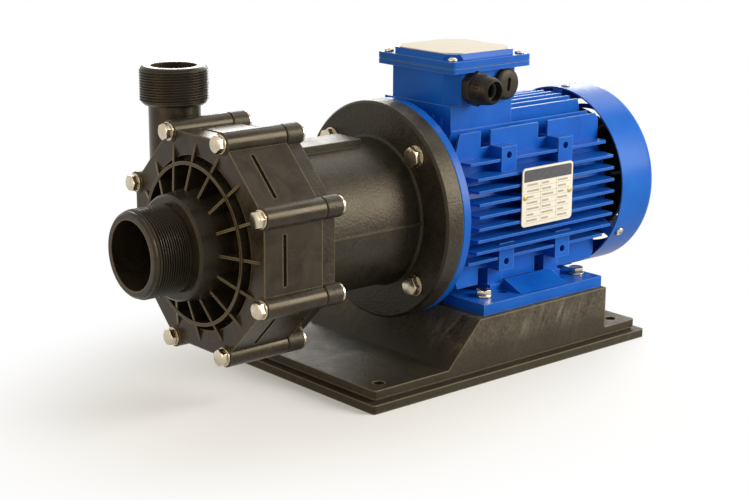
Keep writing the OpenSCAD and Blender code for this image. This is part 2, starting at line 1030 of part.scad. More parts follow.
// Terminal box
module at_lid_screws() {
  for (sx = [-1, 1], sy = [-1, 1]) {
    translate([box_mid + sx * (box_l / 2 - lid_screw_in), sy * (box_w / 2 - lid_screw_in), 0]) children();
  }
}

module at_entry(side) {
  translate([box_mid + side * entry_pitch / 2, -box_w / 2, entry_z]) rotate([90, 0, 0]) children();
}

module terminal_box() {
  color("#1a4fa8") on_axis() difference() {
    union() {
      translate([box_mid, 0, z_box]) linear_extrude(box_h + ear_t) cut_plate(box_l, box_w, box_cut);
      translate([box_mid, 0, z_box + box_h]) linear_extrude(ear_t) round_plate(lid_l, lid_w, lid_round);
    }
    translate([box_mid, 0, z_box + box_t]) linear_extrude(box_h + ear_t)
      cut_plate(box_l - 2 * box_t, box_w - 2 * box_t, box_cut - box_t / 2);
    translate([box_mid, 0, z_box - eps]) cylinder(h = box_t + 2 * eps, d = wire_hole_d);
    for (side = [-1, 1]) {
      at_entry(side) translate([0, 0, -box_t - eps]) cylinder(h = box_t + 2 * eps, d = entry_d);
    }
    at_lid_screws() translate([0, 0, z_box + box_h - eps]) cylinder(h = ear_t + 2 * eps, d = lid_screw_d);
  }
}

module lid_gasket() {
  color("#2b2b2b") on_axis() difference() {
    translate([box_mid, 0, z_lid - gasket_t]) linear_extrude(gasket_t)
      round_plate(lid_l - 2 * gasket_in, lid_w - 2 * gasket_in, lid_round - gasket_in);
    translate([box_mid, 0, z_lid - gasket_t - eps]) linear_extrude(gasket_t + 2 * eps)
      cut_plate(box_l - 3 * box_t, box_w - 3 * box_t, lid_cut + box_t);
    at_lid_screws() translate([0, 0, z_lid - gasket_t - eps])
      cylinder(h = gasket_t + 2 * eps, d = lid_screw_d + 2 * seat_clear);
  }
}

// Raised panel of the lid: sloped edges with cut corners
module lid_panel(l, w, h, bevel, cut) {
  intersection() {
    side_slab(w, [[-l / 2, 0], [l / 2, 0], [l / 2 - bevel, h], [-l / 2 + bevel, h]]);
    cross_slab(l, [[-w / 2, 0], [w / 2, 0], [w / 2 - bevel, h], [-w / 2 + bevel, h]]);
    translate([0, 0, -eps]) linear_extrude(h + 2 * eps) cut_plate(l, w, cut);
  }
}

module terminal_lid() {
  panel_l = lid_l - 2 * lid_step;
  panel_w = lid_w - 2 * lid_step;
  color("#1a4fa8") on_axis() translate([box_mid, 0, z_lid]) difference() {
    union() {
      linear_extrude(lid_rim) round_plate(lid_l, lid_w, lid_round);
      translate([0, 0, lid_rim - eps]) lid_panel(panel_l, panel_w, lid_rise + eps, lid_bevel, lid_cut);
    }
    translate([0, 0, -eps]) linear_extrude(lid_rim + lid_rise - lid_wall)
      cut_plate(panel_l - 2 * lid_wall - lid_bevel, panel_w - 2 * lid_wall - lid_bevel, lid_cut);
    translate([-box_mid, 0, -eps]) at_lid_screws()
      cylinder(h = lid_rim + 2 * eps, d = lid_screw_d + 2 * seat_clear);
  }
}

module lid_plate() {
  inset = 2 * (lid_over - lid_step - lid_bevel - lid_plate_in);
  color("#e6e0d0") on_axis() translate([box_mid, 0, z_lid + lid_rim + lid_rise])
    linear_extrude(lid_plate_t) cut_plate(box_l + inset, box_w + inset, lid_cut - 2);
}

module lid_screws() {
  color("#b9b6ae") on_axis() at_lid_screws() {
    translate([0, 0, z_lid - lid_screw_l]) cylinder(h = lid_rim + lid_screw_l, d = lid_screw_d);
    translate([0, 0, z_lid + lid_rim]) cylinder(h = lid_head_h, d = 1.8 * lid_screw_d);
  }
}

module at_studs() {
  for (sx = [-1, 0, 1], sy = [-1, 1]) {
    translate([box_mid + sx * stud_pitch, sy * stud_row + block_w / 2 - block_in, z_box + box_t]) children();
  }
}

module terminal_block() {
  color("#3b332b") on_axis() difference() {
    translate([box_mid - block_l / 2, -block_in, z_box + box_t]) cube([block_l, block_w, block_h]);
    at_studs() translate([0, 0, block_h / 4]) cylinder(h = block_h, d = stud_d);
    translate([box_mid, 0, z_box - eps]) cylinder(h = box_h, d = wire_hole_d);
  }
}

module terminal_studs() {
  color("#b08d45") on_axis() at_studs() {
    translate([0, 0, block_h / 4]) cylinder(h = stud_l, d = stud_d);
    translate([0, 0, block_h]) cylinder(h = nut_h(stud_d), d = hex_flats(stud_d) / hex_round, $fn = 6);
  }
}

module gland_body() {
  color("#1e1d1b") on_axis() at_entry(-1) difference() {
    union() {
      translate([0, 0, -box_t - 5]) cylinder(h = box_t + 5, d = entry_d);
      cylinder(h = gland_body_l, d = gland_flats / hex_round, $fn = 6);
      cylinder(h = gland_body_l + 8, d = entry_d + 2);
    }
    translate([0, 0, -box_t - 5 - eps]) cylinder(h = 40, d = gland_bore + 1);
  }
}

module gland_nut() {
  z0 = gland_body_l + 0.5;
  color("#1e1d1b") on_axis() at_entry(-1) difference() {
    rotate_extrude() polygon([
      [entry_d / 2 + 1, z0],
      [gland_nut_d / 2 + 1, z0],
      [gland_nut_d / 2, z0 + 10],
      [gland_nut_d / 2 - 1, z0 + gland_nut_l - 5],
      [gland_nut_d / 2 - 3, z0 + gland_nut_l - 1],
      [gland_mouth_d / 2 + 1, z0 + gland_nut_l],
      [gland_mouth_d / 2, z0 + gland_nut_l - 1],
      [gland_mouth_d / 2, z0 + gland_nut_l - 3],
      [entry_d / 2 + 1, gland_body_l + 8 + 4]
    ]);
  }
}

module gland_seal() {
  color("#35332f") on_axis() at_entry(-1) translate([0, 0, gland_body_l + 8]) difference() {
    cylinder(h = 4, d = entry_d + 1);
    translate([0, 0, -eps]) cylinder(h = 4 + 2 * eps, d = gland_bore);
  }
}

module blanking_plug() {
  color("#1e1d1b") on_axis() at_entry(1) difference() {
    union() {
      translate([0, 0, -box_t - 4]) cylinder(h = box_t + 4, d = entry_d);
      cylinder(h = plug_t - 1.5, d = plug_d);
      cylinder(h = plug_t, d = plug_d - 3);
    }
    translate([-plug_d / 2 + 4, -1.5, plug_t - 2]) cube([plug_d - 8, 3, 4]);
  }
}

module name_plate() {
  color("#ddd6c4") on_axis() translate([plate_mid, -fin_tip, plate_z]) rotate([90, 0, 0]) difference() {
    linear_extrude(plate_t) round_plate(plate_l, plate_w, plate_round);
    for (sx = [-1, 1]) {
      translate([sx * (plate_l / 2 - 4), 0, -eps]) cylinder(h = plate_t + 2 * eps, d = rivet_d);
    }
  }
}

module plate_rivets() {
  color("#c7a552") on_axis() for (sx = [-1, 1]) {
    translate([plate_mid + sx * (plate_l / 2 - 4), -fin_tip, plate_z]) rotate([90, 0, 0]) {
      translate([0, 0, -rivet_l]) cylinder(h = rivet_l + plate_t, d = rivet_d);
      translate([0, 0, plate_t]) cylinder(h = rivet_head_h, d = 1.8 * rivet_d);
    }
  }
}

// Lantern and its fixings
module lantern_outline() {
  x0 = x_part;
  x1 = x_face - lantern_ring;
  r = lantern_d / 2;
  translate([0, x0]) square([r, x_face - x0]);
  difference() {
    translate([0, x1 - lantern_round]) square([r + lantern_round, lantern_round + 1]);
    translate([r + lantern_round, x1 - lantern_round]) circle(lantern_round);
  }
  polygon([
    [0, x1],
    [flange_d / 2 - chamfer, x1],
    [flange_d / 2, x1 + chamfer],
    [flange_d / 2, x_face],
    [0, x_face]
  ]);
}

module lantern() {
  color("#262522") on_axis() difference() {
    union() {
      rotate([0, 90, 0]) rotate_extrude() lantern_outline();
      prism8(x_part, x_part + parting_w + eps, lantern_flat - parting_deep);
      prism8(x_part + parting_w, x_part + lantern_plate, lantern_flat);
      around(casing_sides, casing_pcd / 2, first_bolt) turn([
        [0, x_part],
        [boss_d / 2 - boss_break, x_part],
        [boss_d / 2, x_part + boss_break],
        [boss_d / 2, x_back - boss_break],
        [boss_d / 2 - boss_break, x_back],
        [0, x_back]
      ]);
      block(x_part + 1, x_part + top_pad_end, -top_pad_w / 2, top_pad_w / 2, lantern_d / 4, pad_top);
      for (sy = [-1, 1]) {
        scale([1, sy, 1]) block(x_part + 1, x_face - lantern_ring + 1, lantern_d / 4, lantern_d / 2 + seam_h,
          -seam_w / 2, seam_w / 2);
      }
    }
    rod(x_part - eps, x_face + eps, lantern_bore);
    rod(x_face - spigot_h - 0.5, x_face + eps, spigot_d + 0.2);
    around(casing_sides, casing_pcd / 2, first_bolt)
      rod(x_part - eps, x_back + eps, hole_d(casing_bolt_d));
    around(casing_sides, casing_pcd / 2, first_bolt)
      rod(x_back - sleeve_nut_l - seat_clear, x_back + eps, sleeve_nut_d + 2 * seat_clear);
    around(4, flange_pcd / 2, 45) rod(x_seat - eps, x_face + eps, hole_d(flange_bolt_d));
    around(4, flange_pcd / 2, 45)
      rod(x_seat - lantern_round - eps, x_seat, washer_d(flange_bolt_d) + 2 * spot_clear);
  }
}

module flange_bolts() {
  x_head = x_seat - washer_t;
  color("#c9c4b8") on_axis() around(4, flange_pcd / 2, 45) {
    hexagon(x_head - head_h(flange_bolt_d), x_head, hex_flats(flange_bolt_d));
    rod(x_head, x_nut + nut_h(flange_bolt_d) + 2, flange_bolt_d);
  }
}

module flange_washers() {
  color("#d0cbbf") on_axis() around(4, flange_pcd / 2, 45)
    tube(x_seat - washer_t, x_seat, washer_d(flange_bolt_d), flange_bolt_d + 2 * seat_clear);
}

module flange_nuts() {
  color("#c9c4b8") on_axis() around(4, flange_pcd / 2, 45) difference() {
    hexagon(x_nut, x_nut + nut_h(flange_bolt_d), hex_flats(flange_bolt_d));
    rod(x_nut - eps, x_nut + nut_h(flange_bolt_d) + eps, flange_bolt_d);
  }
}

// Pump casing
module casing_dish() {
  turn([
    [collar_root / 2 - 2, x_front - 2 * eps],
    [collar_root / 2, x_front + 4],
    [dish_root, x_front + dish_floor],
    [ring_in, x_front + dish_floor],
    [ring_in, x_front + ring_back],
    [groove_out - groove_lean, x_front + ring_back],
    [groove_out, x_front + rim_in],
    [groove_out, x_front - 2 * eps]
  ]);
}

module suction_nozzle() {
  r = suction_d / 2 - thread_deep;
  x_collar = x_front - collar_x;
  turn([
    [suction_bore / 2, x_suction],
    [r - chamfer, x_suction],
    [r, x_suction + chamfer],
    [r, x_collar],
    [collar_d / 2 - chamfer, x_collar],
    [collar_d / 2, x_collar + chamfer],
    [collar_root / 2, x_front + 4],
    [dish_root, x_front + dish_floor],
    [dish_root, x_front + chamber_x - 1],
    [suction_bore / 2, x_front + chamber_x - 1]
  ]);
}

module front_ribs() {
  for (i = [0 : rib_count - 1]) {
    rotate([i * 360 / rib_count + first_bolt, 0, 0]) side_slab(rib_t, [
      [x_front + rib_x, collar_d / 2],
      [x_front + rim_in + rib_sink, rib_end],
      [x_front + rim_in + 2 * rib_sink, rib_end],
      [x_front + ring_back + 2 * rib_sink, groove_out],
      [x_front + dish_floor + 1, ring_in],
      [x_front + dish_floor + 1, collar_d / 2]
    ]);
  }
}

module discharge_nozzle() {
  z_thread = discharge_top - discharge_thread;
  r = discharge_d / 2 - thread_deep;
  translate([x_front + discharge_x, discharge_y, 0]) rotate_extrude() polygon([
    [0, discharge_low],
    [discharge_pipe_d / 2, discharge_low],
    [discharge_pipe_d / 2, z_thread - chamfer],
    [r - chamfer, z_thread - chamfer],
    [r, z_thread],
    [r, discharge_top - chamfer],
    [r - chamfer, discharge_top],
    [0, discharge_top]
  ]);
}

module discharge_passage() {
  z_throat = discharge_top - discharge_thread - chamfer;
  translate([x_front + discharge_x, discharge_y, 0]) rotate_extrude() polygon([
    [0, discharge_low + 4],
    [discharge_throat / 2, discharge_low + 4],
    [discharge_throat / 2, z_throat],
    [discharge_bore / 2, z_throat + 8],
    [discharge_bore / 2, discharge_top + eps],
    [0, discharge_top + eps]
  ]);
}

function volute_r(a) = volute_r0 + (volute_r1 - volute_r0) * (a - tongue) / 330;

module volute() {
  translate([x_front + volute_x, 0, 0]) rotate([0, 90, 0]) linear_extrude(land_x - volute_x + 0.5)
    polygon([for (a = [tongue : 15 : tongue + 330]) [-volute_r(a) * sin(a), volute_r(a) * cos(a)]]);
}

module flank_slots() {
  for (i = [0 : casing_sides - 1]) {
    if (i != 1) {
      rotate([i * 360 / casing_sides, 0, 0]) translate([x_front + slot_x, casing_flat - slot_deep, 0])
        rotate([-90, 0, 0]) linear_extrude(slot_deep + eps) round_plate(slot_w, slot_l, slot_w / 2 - 0.05);
    }
  }
}

module spider() {
  difference() {
    union() {
      turn([
        [0, x_front + spider_x0 - 6],
        [spider_d / 4, x_front + spider_x0 - 4],
        [spider_d / 2, x_front + spider_x0 + 4],
        [spider_d / 2, x_front + spider_x1],
        [0, x_front + spider_x1]
      ]);
      for (i = [0 : arm_count - 1]) {
        rotate([i * 360 / arm_count, 0, 0])
          block(x_front + spider_x0 + 1, x_front + spider_x1 - 1, -arm_t / 2, arm_t / 2, 8, suction_bore / 2 + 1);
      }
    }
    rod(x_front + shaft_x0, x_front + spider_x1 + eps, pump_shaft_d);
  }
}

module pump_casing() {
  color("#262522") on_axis() {
    difference() {
      union() {
        difference() {
          prism8(x_front + rim_in, x_part + trim_x, casing_flat);
          casing_dish();
        }
        around(casing_sides, casing_pcd / 2, first_bolt) turn([
          [0, x_front],
          [boss_d / 2 - boss_break / 2, x_front],
          [boss_d / 2, x_front + boss_break / 2],
          [boss_d / 2, x_part - boss_break],
          [boss_d / 2 - boss_break - trim_x, x_part + trim_x],
          [0, x_part + trim_x]
        ]);
        suction_nozzle();
        tube(x_front + ring_x, x_front + dish_floor + 1, 2 * ring_out, 2 * ring_in);
        front_ribs();
        discharge_nozzle();
      }
      // One plane trims the prism and its bosses to the parting face
      rod(x_part, x_part + 2 * trim_x, 2 * casing_pcd);
      rod(x_suction - eps, x_front + chamber_x + eps, suction_bore);
      rod(x_front + wear_x, x_front + chamber_x + eps, wear_d);
      rod(x_front + chamber_x, x_front + land_x + 0.5, chamber_d);
      volute();
      rod(x_front + land_x, x_part + eps, land_d);
      tube(x_front + land_x - o_groove_deep, x_front + land_x + eps, o_ring_mid + o_groove_w, o_ring_mid - o_groove_w);
      discharge_passage();
      flank_slots();
      around(casing_sides, casing_pcd / 2, first_bolt) rod(x_front - eps, x_part + eps, hole_d(casing_bolt_d));
    }
    spider();
  }
}

module casing_bolts() {
  x_head = x_front - washer_t;
  color("#c9c4b8") on_axis() around(casing_sides, casing_pcd / 2, first_bolt) {
    hexagon(x_head - head_h(casing_bolt_d), x_head, hex_flats(casing_bolt_d));
    rod(x_head, x_back + sleeve_rim_t - bolt_short, casing_bolt_d);
  }
}

module casing_washers() {
  color("#d0cbbf") on_axis() around(casing_sides, casing_pcd / 2, first_bolt)
    tube(x_front - washer_t, x_front, washer_d(casing_bolt_d), casing_bolt_d + 2 * seat_clear);
}

// Sleeve nuts with a rim, set into the lantern's bosses from behind
module casing_nuts() {
  color("#c9c4b8") on_axis() around(casing_sides, casing_pcd / 2, first_bolt) difference() {
    union() {
      rod(x_back - sleeve_nut_l, x_back + sleeve_rim_t / 2, sleeve_nut_d);
      rod(x_back, x_back + sleeve_rim_t, sleeve_rim_d);
    }
    rod(x_back - sleeve_nut_l - eps, x_back + sleeve_rim_t + eps, casing_bolt_d);
  }
}

module casing_o_ring() {
  color("#1c1b19") on_axis() translate([x_front + land_x - o_ring_d / 2 + 0.05, 0, 0]) rotate([0, 90, 0])
    rotate_extrude() translate([o_ring_mid / 2, 0]) circle(d = o_ring_d - 0.1);
}

// Wet end
module wear_ring() {
  color("#8a857a") on_axis() tube(x_front + wear_x, x_front + wear_x + wear_t, wear_d, neck_d + 2 * seat_clear + 0.4);
}

module front_thrust_ring() {
  color("#e8e2d4") on_axis()
    tube(x_front + spider_x1, x_front + spider_x1 + thrust_t, thrust_d, pump_shaft_d);
}

module pump_shaft() {
  color("#ece6d8") on_axis() rod(x_front + shaft_x0, x_front + shaft_x1, pump_shaft_d);
}

module vane() {
  steps = 6;
  r0 = eye_d / 2 + 1;
  r1 = impeller_d / 2 - 0.2;
  wrap = 62;
  inner = [for (i = [0 : steps]) let (r = r0 + (r1 - r0) * i / steps, a = -wrap * i / steps)
    [-r * sin(a), r * cos(a)]];
  outer = [for (i = [steps : -1 : 0]) let (r = r0 + (r1 - r0) * i / steps, a = -wrap * i / steps + 57 * vane_t / r)
    [-r * sin(a), r * cos(a)]];
  translate([x_front + shroud_x + 1, 0, 0]) rotate([0, 90, 0]) linear_extrude(back_x - shroud_x + 1)
    polygon(concat(inner, outer));
}

module impeller() {
  r = impeller_d / 2;
  x_back = x_front + back_x;
  color("#57534b") on_axis() {
    turn([
      [eye_d / 2, x_front + wear_x + 0.5],
      [neck_d / 2, x_front + wear_x + 0.5],
      [neck_d / 2, x_front + shroud_x],
      [r, x_front + shroud_x],
      [r, x_front + shroud_x + shroud_t],
      [eye_d / 2, x_front + shroud_x + shroud_t]
    ]);
    turn([
      [bush_d / 2, x_front + hub_x],
      [hub_d / 2, x_front + hub_x],
      [hub_d / 2 + 5, x_back - 3],
      [r, x_back],
      [r, x_back + back_t],
      [neck_back_d / 2, x_back + back_t],
      [neck_back_d / 2, x_front + capsule_x0],
      [bush_d / 2, x_front + capsule_x0]
    ]);
    for (i = [0 : vane_count - 1]) {
      rotate([i * 360 / vane_count, 0, 0]) vane();
    }
  }
}

module magnet_capsule() {
  x0 = x_front + capsule_x0;
  x1 = x_front + capsule_x1;
  color("#4b4841") on_axis() difference() {
    tube(x0, x1, capsule_d, bush_d);
    tube(x_front + pocket_x0, x1 + eps, pocket_out, pocket_in);
  }
}

module capsule_cap() {
  x1 = x_front + capsule_x1;
  color("#5c5850") on_axis() tube(x1 - cap_t, x1, pocket_out, pocket_in);
}

module inner_yoke() {
  color("#7f7b73") on_axis()
    tube(x_front + pocket_x0, x_front + capsule_x1 - cap_t, yoke_out, pocket_in);
}

module magnet_ring(x0, x1, outer, inner) {
  difference() {
    tube(x0, x1, outer, inner);
    for (i = [0 : magnet_count / 2 - 1]) {
      rotate([i * 360 / magnet_count, 0, 0])
        block(x0 - eps, x1 + eps, -outer, outer, -magnet_gap / 2, magnet_gap / 2);
    }
  }
}

module inner_magnets() {
  color("#5f6266") on_axis()
    magnet_ring(x_front + pocket_x0, x_front + capsule_x1 - cap_t, pocket_out, yoke_out);
}

module impeller_bush() {
  color("#33312d") on_axis()
    tube(x_front + bush_x0, x_front + bush_x1, bush_d, pump_shaft_d + 2 * run_clear);
}

module rear_casing() {
  r_in = can_bore / 2;
  r_out = r_in + can_t;
  x_can = x_front + can_end;
  x_floor = x_can - can_floor;
  color("#3a3732") on_axis() turn([
    [r_in, x_front + shell_x],
    [shell_plug_d / 2, x_front + shell_x],
    [shell_plug_d / 2, x_front + land_x],
    [land_d / 2 - seat_clear, x_front + land_x],
    [land_d / 2 - seat_clear, x_part],
    [r_out + 1, x_part],
    [r_out, x_part + 1],
    [r_out, x_can - chamfer],
    [r_out - chamfer, x_can],
    [0, x_can],
    [0, x_front + shaft_x1],
    [pump_shaft_d / 2, x_front + shaft_x1],
    [pump_shaft_d / 2, x_floor - socket_len],
    [socket_d / 2, x_floor - socket_len],
    [socket_d / 2 + 1, x_floor],
    [r_in, x_floor]
  ]);
}

// Outer half of the magnetic drive, on the motor shaft
module drive_hub() {
  r_shaft = motor_shaft_d / 2;
  x_tip = x_face - shaft_end;
  color("#86837b") on_axis() difference() {
    turn([
      [hub_bolt_d / 2, x_front + web_x0],
      [drive_out / 2, x_front + web_x0],
      [drive_out / 2, x_front + cup_x0],
      [cup_d / 2, x_front + cup_x0],
      [cup_d / 2, x_front + web_x1 - chamfer],
      [cup_d / 2 - chamfer, x_front + web_x1],
      [sleeve_d / 2, x_front + web_x1],
      [sleeve_d / 2, sleeve_end],
      [r_shaft, sleeve_end],
      [r_shaft, x_tip],
      [hub_bolt_d / 2, x_tip]
    ]);
    key_seat(x_tip + 5);
  }
}

module drive_magnets() {
  color("#5f6266") on_axis() magnet_ring(x_front + drive_x0, x_front + drive_x1, drive_out, drive_in);
}

module hub_bolt() {
  x0 = x_front + web_x0;
  color("#b9b6ae") on_axis() {
    rod(x0 - hub_head_h, x0, hub_head_d);
    rod(x0, x_face - shaft_end + hub_bolt_l, hub_bolt_d);
  }
}

baseplate();
foot_inserts();
foot_bolts();
foot_washers();
near_foot();
far_foot();
foot_screws();
motor_frame();
motor_flange();
rear_shield();
tie_rods();
stator_core();
windings();
rotor_core();
rotor_rings();
motor_shaft();
shaft_key();
shaft_seal();
front_bearing();
front_race();
rear_bearing();
rear_race();
cooling_fan();
fan_cowl();
cowl_screws();
terminal_box();
lid_gasket();
terminal_lid();
lid_plate();
lid_screws();
terminal_block();
terminal_studs();
gland_body();
gland_nut();
gland_seal();
blanking_plug();
name_plate();
plate_rivets();
lantern();
flange_bolts();
flange_washers();
flange_nuts();
pump_casing();
casing_bolts();
casing_washers();
casing_nuts();
casing_o_ring();
wear_ring();
front_thrust_ring();
pump_shaft();
impeller();
magnet_capsule();
capsule_cap();
inner_yoke();
inner_magnets();
impeller_bush();
rear_casing();
drive_hub();
drive_magnets();
hub_bolt();
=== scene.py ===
"""Magnetic drive pump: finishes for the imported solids, and the threads, fasteners and plates on them."""
import math

import bpy
from mathutils import Matrix, Vector


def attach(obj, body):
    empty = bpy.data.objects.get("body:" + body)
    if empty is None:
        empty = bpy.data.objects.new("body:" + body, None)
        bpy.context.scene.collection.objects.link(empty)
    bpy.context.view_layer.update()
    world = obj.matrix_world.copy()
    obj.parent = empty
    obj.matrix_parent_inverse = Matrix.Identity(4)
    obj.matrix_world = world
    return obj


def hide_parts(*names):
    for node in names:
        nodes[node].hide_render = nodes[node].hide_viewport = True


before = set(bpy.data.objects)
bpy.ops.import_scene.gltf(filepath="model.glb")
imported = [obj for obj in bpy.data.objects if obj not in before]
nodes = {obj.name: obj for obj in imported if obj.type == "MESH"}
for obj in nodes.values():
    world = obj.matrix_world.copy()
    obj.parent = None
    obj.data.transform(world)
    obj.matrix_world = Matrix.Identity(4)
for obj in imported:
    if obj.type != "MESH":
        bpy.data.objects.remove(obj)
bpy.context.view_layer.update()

MM = 0.001
SHAFT_Z = 148 * MM
PLATE_FACE = -87 * MM

# Camera and light

EYE = Vector((-1.0541, -1.11755, 0.49192))
YAW, PITCH, ROLL = (math.radians(a) for a in (40.95, -14.48, 0.35))
FOCAL_LENGTH, FILM_WIDTH = 79.88, 36

ROOM_TINT, ROOM_GLOW = (1, 0.93, 0.8, 1), 0.39
TABLE_SIZE = 40
TABLE_LIT, TABLE_SEEN = (0.38, 0.38, 0.38), (0.9, 0.94, 1.0)
SHADOW_SHIFT, SHADOW_LENGTH, SHADOW_WIDTH = (0.19, 0.05, 0), 0.4, 0.26
WHITE = (1, 1, 1, 1)

# Each lamp: name, place, point it faces, width, height, watts, tint
LAMPS = (
    ("key_box", (1.15, -1.4, 0.88), (0, 0, 0.15), 0.8, 1.2, 46, (1, 0.93, 0.82)),
    ("back_box", (1.75, 2.0, 0.95), (0, 0, 0.15), 1.8, 0.8, 26, (1, 0.97, 0.93)),
    ("front_bounce", (-1.9, 0.1, 0.55), (-0.2, 0, 0.15), 1.0, 1.0, 14, (1, 0.76, 0.45)),
    ("overhead_box", (1.25, 0.4, 1.4), (0.1, 0, 0.2), 0.9, 0.9, 7, (1, 0.96, 0.9)),
)


def set_camera():
    """Stand the camera where the photograph was taken from."""
    ahead = Vector((math.sin(YAW) * math.cos(PITCH), math.cos(YAW) * math.cos(PITCH), math.sin(PITCH)))
    right = Vector((math.cos(YAW), -math.sin(YAW), 0))
    up = right.cross(ahead)
    side = right * math.cos(ROLL) + up * math.sin(ROLL)
    top = up * math.cos(ROLL) - right * math.sin(ROLL)
    lens = bpy.data.cameras.new("photo_lens")
    lens.lens = FOCAL_LENGTH
    lens.sensor_width = FILM_WIDTH
    camera = bpy.data.objects.new("photo_camera", lens)
    camera.matrix_world = Matrix.Translation(EYE) @ Matrix((side, top, -ahead)).transposed().to_4x4()
    bpy.context.scene.collection.objects.link(camera)
    bpy.context.scene.camera = camera


def softbox(name, place, aim, width, height, watts, tint):
    """Area lamp that faces a point."""
    lamp = bpy.data.lights.new(name, "AREA")
    lamp.shape = "RECTANGLE"
    lamp.size = width
    lamp.size_y = height
    lamp.energy = watts
    lamp.color = tint
    box = bpy.data.objects.new(name, lamp)
    box.location = place
    box.rotation_euler = (Vector(aim) - Vector(place)).to_track_quat("-Z", "Y").to_euler()
    bpy.context.scene.collection.objects.link(box)


def put(tree, kind, links=None, **settings):
    """Add a shader node, set its options, then fill its sockets from values or other sockets."""
    node = tree.nodes.new("ShaderNode" + kind)
    for key, value in settings.items():
        setattr(node, key, value)
    for key, value in (links or {}).items():
        if isinstance(value, bpy.types.NodeSocket):
            tree.links.new(value, node.inputs[key])
        else:
            node.inputs[key].default_value = value
    return node


def remap(tree, value, start, stop, low, high, **settings):
    """Carry a value from one range to another, held at both ends."""
    return put(tree, "MapRange", {"Value": value, "From Min": start, "From Max": stop,
                                  "To Min": low, "To Max": high}, **settings).outputs["Result"]


def blend_colours(tree, amount, dark, light, low=0.3, high=0.7):
    """Colour between two tones as the amount goes from low to high."""
    ramp = put(tree, "ValToRGB", {"Fac": amount})
    ramp.color_ramp.elements[0].position = low
    ramp.color_ramp.elements[1].position = high
    ramp.color_ramp.elements[0].color = (*dark, 1)
    ramp.color_ramp.elements[1].color = (*light, 1)
    return ramp.outputs["Color"]


def seen_directly(tree):
    """1 for rays from the camera, a mirror or glass, 0 for light that bounces off matt surfaces."""
    path = put(tree, "LightPath")
    shiny = put(tree, "Math", {0: path.outputs["Is Glossy Ray"], 1: path.outputs["Is Transmission Ray"]},
                operation="MAXIMUM")
    return put(tree, "Math", {0: path.outputs["Is Camera Ray"], 1: shiny.outputs[0]},
               operation="MAXIMUM").outputs[0]


def set_room():
    """Pale room: white where it is seen, plain soft light where it only lights the pump."""
    world = bpy.data.worlds.new("studio_room")
    bpy.context.scene.world = world
    world.use_nodes = True
    tree = world.node_tree
    tree.nodes.clear()
    glow = put(tree, "Background", {"Color": ROOM_TINT, "Strength": ROOM_GLOW})
    wall = put(tree, "Background", {"Color": WHITE, "Strength": 1.0})
    mix = put(tree, "MixShader", {0: seen_directly(tree), 1: glow.outputs[0], 2: wall.outputs[0]})
    put(tree, "OutputWorld", {"Surface": mix.outputs[0]})


def set_floor():
    """White table that keeps the pump's shadow and runs out into the white room."""
    bpy.ops.object.select_all(action="DESELECT")
    bpy.ops.mesh.primitive_plane_add(size=TABLE_SIZE, location=(0, 0, 0))
    floor = bpy.context.object
    floor.name = "table"
    mat = bpy.data.materials.new("table_white")
    mat.use_nodes = True
    tree = mat.node_tree
    tree.nodes.clear()
    seen = seen_directly(tree)
    place = put(tree, "TexCoord").outputs["Object"]
    oval = put(tree, "Mapping", {"Vector": place, "Location": SHADOW_SHIFT,
                                 "Scale": (1 / SHADOW_LENGTH, 1 / SHADOW_WIDTH, 1)}).outputs["Vector"]
    away = put(tree, "VectorMath", {0: oval}, operation="LENGTH").outputs["Value"]
    share = remap(tree, away, 0.5, 1.2, 0.2, 1.0, interpolation_type="SMOOTHSTEP")
    share = put(tree, "Math", {0: seen, 1: share}, operation="MULTIPLY").outputs[0]
    paper = put(tree, "BsdfDiffuse", {"Color": blend_colours(tree, seen, TABLE_LIT, TABLE_SEEN)})
    glow = put(tree, "Emission", {"Color": WHITE, "Strength": 1.0})
    mix = put(tree, "MixShader", {0: share, 1: paper.outputs[0], 2: glow.outputs[0]})
    put(tree, "OutputMaterial", {"Surface": mix.outputs[0]})
    floor.data.materials.append(mat)


bpy.context.scene.view_settings.view_transform = "Standard"
set_camera()
set_room()
set_floor()
for lamp_row in LAMPS:
    softbox(*lamp_row)

# Finishes

# Pale tan for the outer edges of the black plastics: partly rubbed wear, partly a painted highlight
EDGE_WEAR_AND_HIGHLIGHT_TONE = (0.28, 0.22, 0.125)
# Pale blue for the enamel's edges: partly chipped paint, partly a painted highlight
EDGE_CHIP_AND_HIGHLIGHT_TONE = (0.2, 0.4, 0.8)
STREAK_TONE = (0.22, 0.2, 0.155)
WARM_GLOSS = (1, 0.86, 0.64, 1)
STREAK_LEAN = math.radians(22)
STREAK_STRETCH = 7


def start_finish(name, edge):
    """New material with object coordinates and a normal that rounds hard edges by the given radius."""
    mat = bpy.data.materials.new(name)
    mat.use_nodes = True
    tree = mat.node_tree
    shader = tree.nodes["Principled BSDF"]
    place = put(tree, "TexCoord").outputs["Object"]
    soft_edge = put(tree, "Bevel", {"Radius": edge}, samples=4).outputs["Normal"]
    return mat, tree, shader, place, soft_edge


def noise(tree, place, scale, detail=3.0, rough=0.55, distort=0.0):
    """Cloudy pattern, scale in spots to the metre."""
    return put(tree, "TexNoise", {"Vector": place, "Scale": scale, "Detail": detail, "Roughness": rough,
                                  "Distortion": distort}).outputs["Fac"]


def spread(tree, amount, low, high):
    """Stretch the middle of a cloudy pattern from low to high."""
    return remap(tree, amount, 0.3, 0.7, low, high)


def overlay(tree, amount, under, over):
    """Lay one colour over another by an amount."""
    return put(tree, "MixRGB", {"Fac": amount, "Color1": under, "Color2": over}).outputs["Color"]


def grain(tree, height, normal, strength, depth):
    """Relief of the given depth on top of another normal."""
    return put(tree, "Bump", {"Height": height, "Normal": normal, "Strength": strength,
                              "Distance": depth}).outputs["Normal"]


def wire(tree, shader, **sockets):
    """Link or set the shader's sockets by name."""
    for key, value in sockets.items():
        key = key.replace("_", " ").title().replace("Ior", "IOR")
        if isinstance(value, bpy.types.NodeSocket):
            tree.links.new(value, shader.inputs[key])
        else:
            shader.inputs[key].default_value = value


